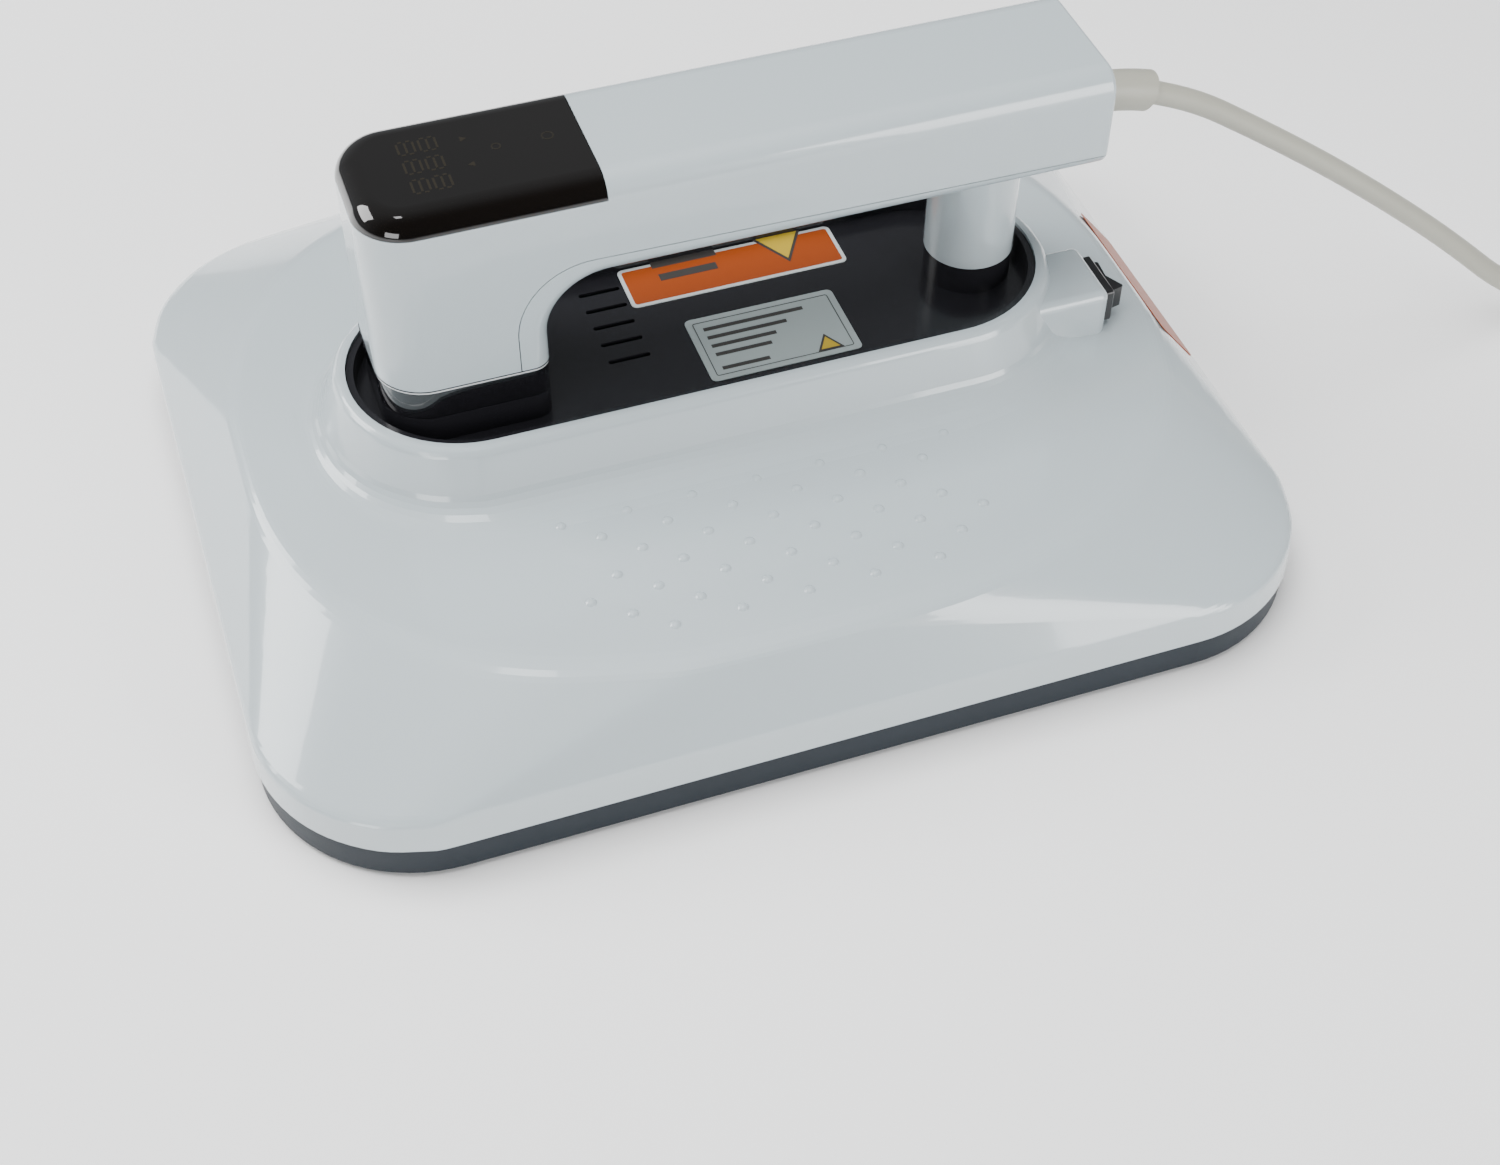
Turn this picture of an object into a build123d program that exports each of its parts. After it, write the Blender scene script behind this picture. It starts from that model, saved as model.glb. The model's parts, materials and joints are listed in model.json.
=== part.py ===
"""Hand-held heat press with a 12 x 10 inch plate, a grip bar on two legs and a mains cord.

Frame: millimetres, +Z up, origin under the middle of the heating plate on the resting surface.
+X runs along the grip from the display end to the cord end, +Y away from the switch side.
"""

import math
import os

from build123d import *

# ---- base: plate, skirt and shell
PLATE_LENGTH, PLATE_WIDTH, PLATE_RADIUS, PLATE_THICK = 305.0, 254.0, 40.0, 6.0
BASE_LENGTH, BASE_WIDTH, BASE_RADIUS = 340.0, 278.7, 51.7
SKIRT_BOTTOM, SKIRT_TOP, SKIRT_INSET = 1.5, 13.6, 0.7
SKIRT_WALL, PLATE_GAP = 2.5, 1.0
BAND_TOP, BAND_DRAFT = 24.6, 0.75
OVAL_X, OVAL_Y, OVAL_POWER, OVAL_Z = 150.5, 124.9, 2.39, 47.7
COLLAR_FOOT_X, COLLAR_FOOT_Y, COLLAR_FOOT_Z = 126.0, 48.3, 49.6
COLLAR_TOP_X, COLLAR_TOP_Y, COLLAR_TOP_Z = 117.9, 40.7, 69.7
COLLAR_HOLE_X, COLLAR_HOLE_Y, COLLAR_SKIRT = 114.7, 37.5, 7.2
SHELL_WALL, SLOPE_WALL = 2.5, 1.6
OVAL_DROP = COLLAR_FOOT_Z - OVAL_Z
DOT_RADIUS, DOT_SINK = 2.3, 1.5
AXIS_FLAT = 0.5  # short straight piece where an oval crosses its axes

# ---- black deck inside the collar
DECK_TOP, DECK_FLOOR = 62.0, 2.4
DECK_GAP, DECK_WALL = 0.25, 2.2
DECK_RIM_TOP, DECK_BOTTOM = 68.7, 36.0
DECK_FLANGE_X, DECK_FLANGE_Y, DECK_FLANGE_THICK = 132.0, 55.0, 2.5
PEDESTAL_TOP, PEDESTAL_WALL, COLUMN_INSET = 72.0, 2.5, 0.35
VENT_LENGTH, VENT_WIDTH, VENT_PITCH, VENT_X, VENT_Y = 14.0, 1.8, 8.5, -26.0, 9.4

# ---- grip bar with the display column
HANDLE_FRONT, HANDLE_REAR, HANDLE_TOP, HANDLE_UNDER = -107.0, 126.5, 146.4, 112.3
HANDLE_HALF, HANDLE_WALL = 25.3, 2.6
FRONT_RADIUS, TOP_ROUND, UNDER_ROUND, REAR_ROUND = 16.0, 8.0, 6.0, 1.6
COLUMN_INNER, COLUMN_BEND = -54.8, 20.0
COLUMN_BOTTOM, COLUMN_RING_BOTTOM = 83.0, 81.5
SEAM_X, SEAM_BEND, SEAM_Z, SEAM_REAR_Z, SEAM_GAP = -64.6, 24.0, 119.5, 116.5, 0.3
DISPLAY_END, DISPLAY_EDGE, DISPLAY_THICK = -35.0, 140.0, 2.0
POST_X, POST_RADIUS, POST_WALL = 93.5, 14.7, 2.5

# ---- switch housing on the collar
BOX_END, BOX_NEAR, BOX_FAR, BOX_TOP, BOX_ROUND = 131.3, -32.5, -5.5, 65.6, 3.0
SWITCH_Y, SWITCH_Z = -19.5, 57.0
BEZEL_LENGTH, BEZEL_HEIGHT, BEZEL_THICK = 20.0, 12.4, 3.1
ROCKER_LENGTH, ROCKER_HEIGHT, ROCKER_TILT = 14.6, 8.0, 12.0
ROCKER_AXIS_X, TRUNNION_RADIUS, TRUNNION_PLAY = 132.85, 1.1, 0.05

# ---- mains cord
CORD_RADIUS = 3.8
BOOT_RADIUS, BOOT_Z, BOOT_TURN, BOOT_BEND = 7.8, 122.6, 20.0, 73.0
COIL_X, COIL_Y = 376.0, -83.0
COIL_INNER, COIL_OUTER, COIL_LEAVE = 33.9, 57.0, 50.4  # inner turn, outer turn, where the cord leaves
COIL_BOTTOM, LAYER_RISE = 1.3, 7.7
TIE_WIDTH, TIE_THICK = 12.0, 1.2
PLUG_BOOT, PLUG_LENGTH, PLUG_WIDTH, PLUG_LEAD = 18.0, 30.0, 25.0, 40.0

NORMALS = [math.radians(90.0 * step / 8) for step in range(9)]


# ---------------------------------------------------------------- helpers
def save(name, shape):
    """Write one sub-part as a STEP file named after its node."""
    export_step(Compound(children=list(shape.solids())), f"parts/{name}.step")


def block(x_low, x_high, y_low, y_high, z_low, z_high):
    """Box between two corners."""
    size = Box(x_high - x_low, y_high - y_low, z_high - z_low)
    return Pos((x_low + x_high) / 2, (y_low + y_high) / 2, (z_low + z_high) / 2) * size


def rod(radius, x, y, z_low, z_high):
    """Upright cylinder."""
    return Pos(x, y, (z_low + z_high) / 2) * Cylinder(radius, z_high - z_low)


def slab(length, width, radius, z_low, z_high):
    """Flat plate with rounded corners, centred on the Z axis."""
    return Pos(0, 0, z_low) * extrude(RectangleRounded(length, width, radius), z_high - z_low)


def stadium(half_x, half_y, z_low, z_high):
    """Upright prism with two straight sides and round ends."""
    return Pos(0, 0, z_low) * extrude(SlotOverall(2 * half_x, 2 * half_y), z_high - z_low)


def screw(x, y, z_head, direction, head_radius, head_height, shank_radius, shank_length):
    """Pan-head screw whose head lies on z_head; direction is the way that the shank points."""
    head = rod(head_radius, x, y, *sorted((z_head, z_head - direction * head_height)))
    shank = rod(shank_radius, x, y, *sorted((z_head, z_head + direction * shank_length)))
    return head + shank


def mirrored(x, y):
    """The four places that mirror (x, y) about both axes."""
    return [(x, y), (-x, y), (-x, -y), (x, -y)]


# ---------------------------------------------------------------- lofted shell sections
def quarter_rounded(half_x, half_y, radius):
    """Quarter of a rounded rectangle, one point for each direction in NORMALS."""
    flat_x, flat_y = half_x - radius, half_y - radius
    return [(flat_x + radius * math.cos(a), flat_y + radius * math.sin(a)) for a in NORMALS]


def quarter_stadium(half_x, half_y):
    """Quarter of a stadium."""
    return quarter_rounded(half_x, half_y, half_y - AXIS_FLAT)


def quarter_oval(half_x, half_y):
    """Quarter of a superellipse, sampled where its normal has each direction in NORMALS."""
    size_x, size_y = half_x - AXIS_FLAT, half_y - AXIS_FLAT
    points = []
    for angle in NORMALS:
        lean = math.atan2(size_y * math.sin(angle), size_x * math.cos(angle))
        ratio = math.tan(min(lean, math.pi / 2 - 1e-9)) ** (OVAL_POWER / (2 * (OVAL_POWER - 1)))
        phase = math.atan(ratio)
        x = size_x * math.cos(phase) ** (2 / OVAL_POWER)
        y = size_y * math.sin(phase) ** (2 / OVAL_POWER)
        points.append((AXIS_FLAT + x, AXIS_FLAT + y))
    return points


def mix(first, second, share):
    """Section part of the way from one (outline, height) pair to another."""
    outline = [
        (a[0] + (b[0] - a[0]) * share, a[1] + (b[1] - a[1]) * share)
        for a, b in zip(first[0], second[0])
    ]
    return outline, first[1] + (second[1] - first[1]) * share


def soften(before, corner, after, back, ahead, steps=5):
    """Sections that round a corner of the profile along a quadratic curve."""
    start, end = mix(corner, before, back), mix(corner, after, ahead)
    rounded = []
    for step in range(steps + 1):
        share = step / steps
        rounded.append(mix(mix(start, corner, share), mix(corner, end, share), share))
    return rounded


def section_face(section):
    """Closed flat face from a quarter outline, mirrored about both axes."""
    outline, height = section
    quarters = [
        [(x, y) for x, y in outline],
        [(-x, y) for x, y in reversed(outline)],
        [(-x, -y) for x, y in outline],
        [(x, -y) for x, y in reversed(outline)],
    ]
    tangents = [(0, 1), (-1, 0), (0, -1), (1, 0)]
    edges = []
    for turn, quarter in enumerate(quarters):
        points = [(x, y, height) for x, y in quarter]
        start, end = tangents[turn], tangents[(turn + 1) % 4]
        edges.append(Spline(*points, tangents=[(*start, 0), (*end, 0)]))
        following = quarters[(turn + 1) % 4][0]
        edges.append(Line(points[-1], (*following, height)))
    return Face(Wire([edge for piece in edges for edge in piece.edges()]))


def skin(sections):
    """Solid through all the sections."""
    return loft([section_face(section) for section in sections], ruled=True)


def shell_outside():
    """Outer form of the white shell: band, slopes, oval top and collar."""
    foot = (quarter_rounded(BASE_LENGTH / 2, BASE_WIDTH / 2, BASE_RADIUS), SKIRT_TOP)
    half_x, half_y = BASE_LENGTH / 2 - BAND_DRAFT, BASE_WIDTH / 2 - BAND_DRAFT
    band = (quarter_rounded(half_x, half_y, BASE_RADIUS - BAND_DRAFT), BAND_TOP)
    oval = (quarter_oval(OVAL_X, OVAL_Y), OVAL_Z)
    collar = (quarter_stadium(COLLAR_FOOT_X, COLLAR_FOOT_Y), COLLAR_FOOT_Z)
    lip = (quarter_stadium(COLLAR_TOP_X, COLLAR_TOP_Y), COLLAR_TOP_Z)
    middle = (quarter_stadium(COLLAR_HOLE_X - 2, COLLAR_HOLE_Y - 2), COLLAR_TOP_Z)
    return skin(
        [foot]
        + soften(foot, band, oval, 0.16, 0.07)
        + soften(band, oval, collar, 0.10, 0.12)
        + soften(oval, collar, lip, 0.22, 0.30, 7)
        + soften(collar, lip, middle, 0.14, 0.50, 6)
        + [middle]
    )


def shell_inside():
    """Hollow of the white shell."""
    wall, side, slope = SHELL_WALL, SHELL_WALL + BAND_DRAFT, SLOPE_WALL
    half_x, half_y = BASE_LENGTH / 2, BASE_WIDTH / 2
    foot = (quarter_rounded(half_x - wall, half_y - wall, BASE_RADIUS - wall), SKIRT_TOP - 1)
    band = (quarter_rounded(half_x - side, half_y - side, BASE_RADIUS - side), BAND_TOP - wall / 3)
    oval = (quarter_oval(OVAL_X - slope, OVAL_Y - slope), OVAL_Z - wall)
    collar = (quarter_stadium(COLLAR_FOOT_X - wall, COLLAR_FOOT_Y - wall), COLLAR_FOOT_Z - wall)
    lip = (quarter_stadium(COLLAR_TOP_X - wall, COLLAR_TOP_Y - wall), COLLAR_TOP_Z - wall)
    return skin([foot, band, oval, collar, lip])


def grip_dots():
    """Places of the raised dots on one side of the oval top, in seven staggered rows."""
    starts = {0: (-64.5, 7), 1: (-54.0, 6), 2: (-43.5, 5), 3: (-54.0, 6)}
    for row in range(7):
        start, count = starts[row % 4]
        for place in range(count):
            yield start + 21.0 * place, 60.0 + 8.0 * row


# ---------------------------------------------------------------- base parts
STUDS = mirrored(112.0, 88.0) + [(0.0, 88.0), (0.0, -88.0)]
STUD_RADIUS, STUD_TOP = 6.0, 23.0
ELEMENT_RADIUS, GROOVE_DEPTH, ELEMENT_Z = 3.2, 3.0, 6.2
ELEMENT_BEND = 15.0
ELEMENT_ROUTE = [
    (-12, -18),
    (-128, -18),
    (-128, -103),
    (128, -103),
    (128, 103),
    (-128, 103),
    (-128, 18),
    (-12, 18),
]
SHELL_SCREWS = mirrored(147.3, 118.8) + [(160.8, 0.0), (-160.8, 0.0)]
FLANGE_SCREWS = mirrored(60.0, 50.0) + [(126.5, 0.0), (-126.5, 0.0)]
SENSOR_X, CUTOUT_X, SENSOR_Y = 46.0, 78.0, 40.0


def element_path(height):
    """Centre line of the tubular element at a height."""
    points = [(x, y, height) for x, y in ELEMENT_ROUTE]
    return FilletPolyline(*points, radius=ELEMENT_BEND)


def along(path, profile):
    """Sweep a flat profile from the start of a path."""
    return sweep(Plane(path @ 0, z_dir=path % 0) * profile, path=path)


def heating_plate():
    """Aluminium press plate with a groove for the element and six studs."""
    plate = slab(PLATE_LENGTH, PLATE_WIDTH, PLATE_RADIUS, 0, PLATE_THICK)
    plate = chamfer(plate.faces().sort_by(Axis.Z)[0].edges(), 0.8)
    groove = along(element_path(PLATE_THICK), Rectangle(2 * ELEMENT_RADIUS + 0.6, 2 * GROOVE_DEPTH))
    plate -= groove
    for x, y in STUDS:
        plate += rod(STUD_RADIUS, x, y, PLATE_THICK - 0.5, STUD_TOP)
        plate -= rod(1.6, x, y, PLATE_THICK + 4, STUD_TOP + 1)
    return plate


def heating_element():
    """Tubular sheathed element lying in the plate's groove."""
    return along(element_path(ELEMENT_Z), Circle(ELEMENT_RADIUS))


def element_clamps():
    """Steel straps that hold the element down."""
    straps = []
    for x, y in [(-70, -103), (70, -103), (-70, 103), (70, 103), (-70, -18), (-70, 18)]:
        bridge = block(x - 5, x + 5, y - 11, y + 11, 6.0, 10.6)
        bridge -= block(x - 6, x + 6, y - 3.9, y + 3.9, 5.0, 9.6)
        bridge -= block(x - 6, x + 6, y - 12, y - 5.5, 7.2, 12)
        bridge -= block(x - 6, x + 6, y + 5.5, y + 12, 7.2, 12)
        straps.append(bridge)
    return Compound(children=straps)


def insulation_blanket():
    """Ceramic felt between the plate and the heat shield, cut away round the studs."""
    felt = slab(286, 235, 30, 11.0, 22.8)
    for x, y in STUDS:
        felt -= rod(STUD_RADIUS + 1, x, y, 10, 24)
    for y in (-18, 18):
        felt -= rod(2.5, -13.5, y, 10, 24)
    felt -= block(SENSOR_X - 9, CUTOUT_X + 14, SENSOR_Y - 8, SENSOR_Y + 8, 10, 16)
    return felt


def heat_shield():
    """Steel tray over the felt, with a flange that lies on the skirt's inner wall."""
    tray = slab(296, 245, 35, 12.6, 24.0) - slab(294, 243, 34, 12, 23.0)
    flange = slab(310, 259, 42.5, 12.6, 13.6) - slab(294, 243, 34, 12, 14)
    shield = tray + flange
    for x, y in STUDS:
        shield -= rod(2.1, x, y, 22, 25)
    for y in (-18, 18):
        shield -= rod(2.5, -13.5, y, 22, 25)
    return shield


def plate_screws():
    """Screws that hang the plate on the shield."""
    return Compound(children=[screw(x, y, 24.0, -1, 3.6, 2.4, 1.55, 12) for x, y in STUDS])


def temperature_sensor():
    """Bead sensor in a small aluminium block on the plate."""
    body = block(SENSOR_X - 7, SENSOR_X + 7, SENSOR_Y - 4, SENSOR_Y + 4, PLATE_THICK, 11)
    bead = Pos(SENSOR_X, SENSOR_Y, 8.4) * Rot(0, 90, 0) * Cylinder(1.5, 15)
    return fillet(body.edges().filter_by(Axis.Z), 1.5) + bead


def thermal_cutout():
    """One-shot thermal cut-out clipped to the plate."""
    case = Pos(CUTOUT_X, SENSOR_Y, 8.6) * Rot(0, 90, 0) * Cylinder(2.0, 11)
    leads = Pos(CUTOUT_X, SENSOR_Y, 8.6) * Rot(0, 90, 0) * Cylinder(0.5, 22)
    saddle = block(CUTOUT_X - 3, CUTOUT_X + 3, SENSOR_Y - 5, SENSOR_Y + 5, PLATE_THICK, 7.6)
    return case + leads + saddle


def base_skirt():
    """Dark heat-proof ring round the plate, a channel that is open upwards."""
    length, width = BASE_LENGTH - 2 * SKIRT_INSET, BASE_WIDTH - 2 * SKIRT_INSET
    radius = BASE_RADIUS - SKIRT_INSET
    outer = slab(length, width, radius, SKIRT_BOTTOM, SKIRT_TOP)
    outer = fillet(outer.faces().sort_by(Axis.Z)[0].edges(), 1.2)
    hole_x, hole_y = PLATE_LENGTH + 2 * PLATE_GAP, PLATE_WIDTH + 2 * PLATE_GAP
    hole_radius = PLATE_RADIUS + PLATE_GAP
    ring = outer - slab(hole_x, hole_y, hole_radius, 0, 20)
    wall = SKIRT_WALL
    channel = slab(length - 2 * wall, width - 2 * wall, radius - wall, SKIRT_BOTTOM + 3, 20)
    channel -= slab(hole_x + 2 * wall, hole_y + 2 * wall, hole_radius + wall, 0, 21)
    ring -= channel
    ring -= slab(313, 262, 44, 12.6, 20)
    for x, y in SHELL_SCREWS:
        ring += rod(4.0, x, y, SKIRT_BOTTOM + 1, SKIRT_TOP)
        ring -= rod(3.2, x, y, 0, 4.3)
        ring -= rod(1.6, x, y, 0, 20)
    return ring


def shell_screws():
    """Screws from below that join skirt and shell."""
    return Compound(children=[screw(x, y, 4.3, 1, 3.0, 2.2, 1.35, 16) for x, y in SHELL_SCREWS])


def switch_box(inset):
    """Housing for the switch on the collar's cord end; inset gives its hollow."""
    x_high, z_high = BOX_END - inset, BOX_TOP - inset
    if inset:
        return block(106.0, x_high, BOX_NEAR + inset, BOX_FAR - inset, 38.0, z_high)
    box = block(100.0, x_high, BOX_NEAR, BOX_FAR, 44.0, z_high)
    box = fillet(box.edges().filter_by(Axis.Z).group_by(Axis.X)[-1], BOX_ROUND)
    rim = box.faces().sort_by(Axis.Z)[-1].edges()
    return fillet(rim.filter_by(lambda e: e.center().X > 100.5), BOX_ROUND)


def shell_parts():
    """White shell with its screw posts and raised dots, and the collar with the switch box."""
    form = shell_outside()
    hollow = shell_inside() + switch_box(SHELL_WALL)
    shell = form + switch_box(0) - hollow - stadium(COLLAR_HOLE_X, COLLAR_HOLE_Y, 40, 80)
    for x, y in SHELL_SCREWS:
        shell += rod(4.0, x, y, SKIRT_TOP, 28.0) & form
        shell -= rod(1.4, x, y, 10, 22.5)
    for x, y in FLANGE_SCREWS:
        shell += rod(4.0, x, y, DECK_BOTTOM + DECK_FLANGE_THICK, 47.5)
        shell -= rod(1.4, x, y, 30, 45.5)
    for x, y in mirrored(112.0, 62.0):
        shell += rod(4.0, x, y, 24.0, 47.0)
    dots = []
    for x, y in grip_dots():
        height = COLLAR_FOOT_Z - DOT_SINK - OVAL_DROP * (y - COLLAR_FOOT_Y) / (OVAL_Y - COLLAR_FOOT_Y)
        dots += [Pos(x, side * y, height) * Sphere(DOT_RADIUS) for side in (-1, 1)]
    shell += dots
    shell -= block(
        BOX_END - 5,
        BOX_END + 5,
        SWITCH_Y - BEZEL_LENGTH / 2 + 1.2,
        SWITCH_Y + BEZEL_LENGTH / 2 - 1.2,
        SWITCH_Z - BEZEL_HEIGHT / 2 + 1,
        SWITCH_Z + BEZEL_HEIGHT / 2 - 1,
    )
    collar = stadium(COLLAR_FOOT_X + COLLAR_SKIRT, COLLAR_FOOT_Y + COLLAR_SKIRT, 30, 80)
    collar += block(100, BOX_END + 4, BOX_NEAR - 3, BOX_FAR + 3, 30, 80)
    return shell - collar, shell & collar


# ---------------------------------------------------------------- deck
def column_plan(inset, z_low, z_high):
    """Upright prism with the plan of the display column."""
    x_low, x_high = HANDLE_FRONT + inset, COLUMN_INNER - inset
    half = HANDLE_HALF - inset
    prism = block(x_low, x_high, -half, half, z_low, z_high)
    upright = prism.edges().filter_by(Axis.Z).group_by(Axis.X)
    prism = fillet(upright[0], FRONT_RADIUS - inset)
    upright = prism.edges().filter_by(Axis.Z).filter_by(lambda e: e.center().X > x_high - 0.1)
    return fillet(upright, max(UNDER_ROUND - inset, 1.0))


HANDLE_SCREWS = [(-91.0, -13.0), (-91.0, 13.0), (-66.0, -13.0), (-66.0, 13.0)]
POST_SCREWS = [(POST_X, -8.2), (POST_X, 8.2)]
RIBBON_X = -78.0


def deck_parts():
    """Black deck: floor with its tub and flange, the rim above it, and two pedestals."""
    out_x, out_y = COLLAR_HOLE_X - DECK_GAP, COLLAR_HOLE_Y - DECK_GAP
    in_x, in_y = out_x - DECK_WALL, out_y - DECK_WALL
    rim = stadium(out_x, out_y, DECK_TOP, DECK_RIM_TOP) - stadium(in_x, in_y, 50, 80)
    deck = stadium(out_x, out_y, DECK_BOTTOM, DECK_TOP)
    deck -= stadium(in_x, in_y, 30, DECK_TOP - DECK_FLOOR)
    flange = stadium(DECK_FLANGE_X, DECK_FLANGE_Y, DECK_BOTTOM, DECK_BOTTOM + DECK_FLANGE_THICK)
    deck += flange - stadium(in_x, in_y, 30, 45)
    pedestals = column_plan(COLUMN_INSET, DECK_TOP, PEDESTAL_TOP - 0.4)
    pedestals += column_plan(COLUMN_INSET + 0.4, PEDESTAL_TOP - 1, PEDESTAL_TOP)
    pedestals += rod(POST_RADIUS - 0.3, POST_X, 0, DECK_TOP, PEDESTAL_TOP + 0.5)
    hollow = column_plan(COLUMN_INSET + PEDESTAL_WALL, 50, PEDESTAL_TOP - PEDESTAL_WALL)
    hollow += rod(POST_RADIUS - 0.3 - PEDESTAL_WALL, POST_X, 0, 50, PEDESTAL_TOP - PEDESTAL_WALL)
    hollow += rod(4.0, POST_X, 0, 60, 80)
    for x, y in HANDLE_SCREWS + POST_SCREWS:
        hollow += rod(2.0, x, y, 60, 80)
    hollow += block(RIBBON_X - 2, RIBBON_X + 2, -8, 8, 60, 80)
    deck -= hollow
    pedestals -= hollow
    for place in range(-2, 3):
        slot = extrude(SlotOverall(VENT_LENGTH, VENT_WIDTH), 10)
        deck -= Pos(VENT_X, VENT_Y + VENT_PITCH * place, DECK_TOP - 5) * slot
    for x, y in FLANGE_SCREWS:
        deck -= rod(1.7, x, y, 30, 45)
    for x, y in BOARD_SCREWS:
        deck += rod(3.5, x, y, BOARD_Z + BOARD_THICK, DECK_TOP - 1)
        deck -= rod(1.2, x, y, 45, 58)
    return deck, rim, pedestals


def deck_screws():
    """Screws from below that hold the deck's flange to the shell."""
    return Compound(children=[screw(x, y, DECK_BOTTOM, 1, 3.0, 2.0, 1.35, 8.5) for x, y in FLANGE_SCREWS])


def label(x, y, length, width):
    """Thin sticker on the deck."""
    sticker = extrude(RectangleRounded(length, width, 2.0), 0.25)
    return Pos(x, y, DECK_TOP) * sticker


def rear_label():
    """Thin sticker on the slope at the cord end."""
    rise, run = OVAL_Z - BAND_TOP, (BASE_LENGTH / 2 - BAND_DRAFT) - OVAL_X
    lean = math.degrees(math.atan2(rise, run))
    middle_x = (BASE_LENGTH / 2 - BAND_DRAFT + OVAL_X) / 2
    middle_z = (OVAL_Z + BAND_TOP) / 2
    sticker = extrude(RectangleRounded(22.0, 66.0, 2.0), 0.25)
    return Pos(middle_x, 0, middle_z) * Rot(0, lean, 0) * sticker


# ---------------------------------------------------------------- electronics
BOARD_Z, BOARD_THICK = 46.0, 1.6
BOARD_SCREWS = [(-84.0, -20.0), (-84.0, 20.0), (18.0, -20.0), (18.0, 20.0)]


def power_board():
    """Circuit board that hangs under the deck."""
    board = block(-90, 24, -25, 25, BOARD_Z, BOARD_Z + BOARD_THICK)
    for x, y in BOARD_SCREWS:
        board -= rod(1.7, x, y, 40, 50)
    return board


def board_screws():
    """Screws that hold the circuit board."""
    return Compound(children=[screw(x, y, BOARD_Z, 1, 2.8, 1.8, 1.15, 9) for x, y in BOARD_SCREWS])


def relay():
    """Mains relay on the underside of the board."""
    case = block(-34, -15, 1, 16.5, BOARD_Z - 15.5, BOARD_Z)
    return fillet(case.edges().filter_by(Axis.Z), 0.8)


def transformer():
    """Small supply transformer: core and winding."""
    core = block(-66, -44, -10, 10, BOARD_Z - 16, BOARD_Z)
    winding = block(-69, -41, -6, 6, BOARD_Z - 14, BOARD_Z - 3)
    return core + winding


def capacitors():
    """Filter capacitors on the board."""
    cans = [rod(4.0, x, y, BOARD_Z - 12, BOARD_Z) for x, y in [(-33, -14), (-23, -14), (-60, 17)]]
    film = block(-4, 14, -22, -13, BOARD_Z - 12, BOARD_Z)
    return Compound(children=cans + [film])


def terminal_block():
    """Three-way screw terminal where the mains lead ends."""
    case = block(12, 23, -8, 8, BOARD_Z - 11, BOARD_Z)
    for place in range(-1, 2):
        case -= Pos(23, 5.0 * place, BOARD_Z - 6) * Rot(0, 90, 0) * Cylinder(1.6, 14)
    return case


def heater_leads():
    """Two stiff leads from the board down to the element's ends."""
    return Compound(children=[rod(1.5, -13.5, y, ELEMENT_Z + ELEMENT_RADIUS, BOARD_Z) for y in (-18, 18)])


# ---------------------------------------------------------------- handle
def handle_body(inset):
    """Bar and column as one body; inset gives the hollow."""
    front, rear = HANDLE_FRONT + inset, HANDLE_REAR - inset
    top, under = HANDLE_TOP - inset, HANDLE_UNDER + inset
    inner, bend, half = COLUMN_INNER - inset, COLUMN_BEND + inset, HANDLE_HALF - inset
    bottom = COLUMN_BOTTOM - (5 if inset else 0)
    centre_x, centre_z = inner + bend, under - bend
    slant = math.sqrt(0.5) * bend
    outline = Polyline(
        (inner, centre_z),
        (inner, bottom),
        (front, bottom),
        (front, top),
        (rear, top),
        (rear, under),
        (centre_x, under),
    )
    outline += ThreePointArc((centre_x, under), (centre_x - slant, centre_z + slant), (inner, centre_z))
    profile = Plane.XZ * make_face(outline)
    body = extrude(profile, half, both=True)
    body = fillet(body.edges().filter_by(Axis.Z).group_by(Axis.X)[0], FRONT_RADIUS - inset)
    roof = body.faces().sort_by(Axis.Z)[-1].edges()
    body = fillet(roof.filter_by(lambda e: e.center().X < rear - 0.1), TOP_ROUND - inset)
    lower = [
        e
        for e in body.edges()
        if abs(abs(e.center().Y) - half) < 0.05
        and e.center().Z < under + 0.1
        and inner - 0.1 < e.center().X < rear - 0.5
        and not (abs(e.center().Z - bottom) < 0.1)
    ]
    body = fillet(lower, UNDER_ROUND - inset)
    if not inset:
        end = body.faces().sort_by(Axis.X)[-1].edges()
        body = fillet(end, REAR_ROUND)
    return body


def seam_region(grow):
    """Everything on the finger side of the seam between handle shell and under cover."""
    x, z, rear_z = SEAM_X - grow, SEAM_Z + grow, SEAM_REAR_Z + grow
    bend = SEAM_BEND + grow
    centre_x, centre_z = x + bend, z - bend
    slant = math.sqrt(0.5) * bend
    past = HANDLE_REAR + 10
    outline = Polyline((centre_x, z), (past, rear_z), (past, 60), (x, 60), (x, centre_z))
    outline += ThreePointArc((x, centre_z), (centre_x - slant, centre_z + slant), (centre_x, z))
    return extrude(Plane.XZ * make_face(outline), 40, both=True)


COVER_SCREWS = [(-20.0, 0.0), (20.0, 0.0), (62.0, 0.0)]
PILLARS = [(-92.0, -13.0), (-92.0, 13.0), (-44.0, -17.0), (-44.0, 17.0)]


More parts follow.
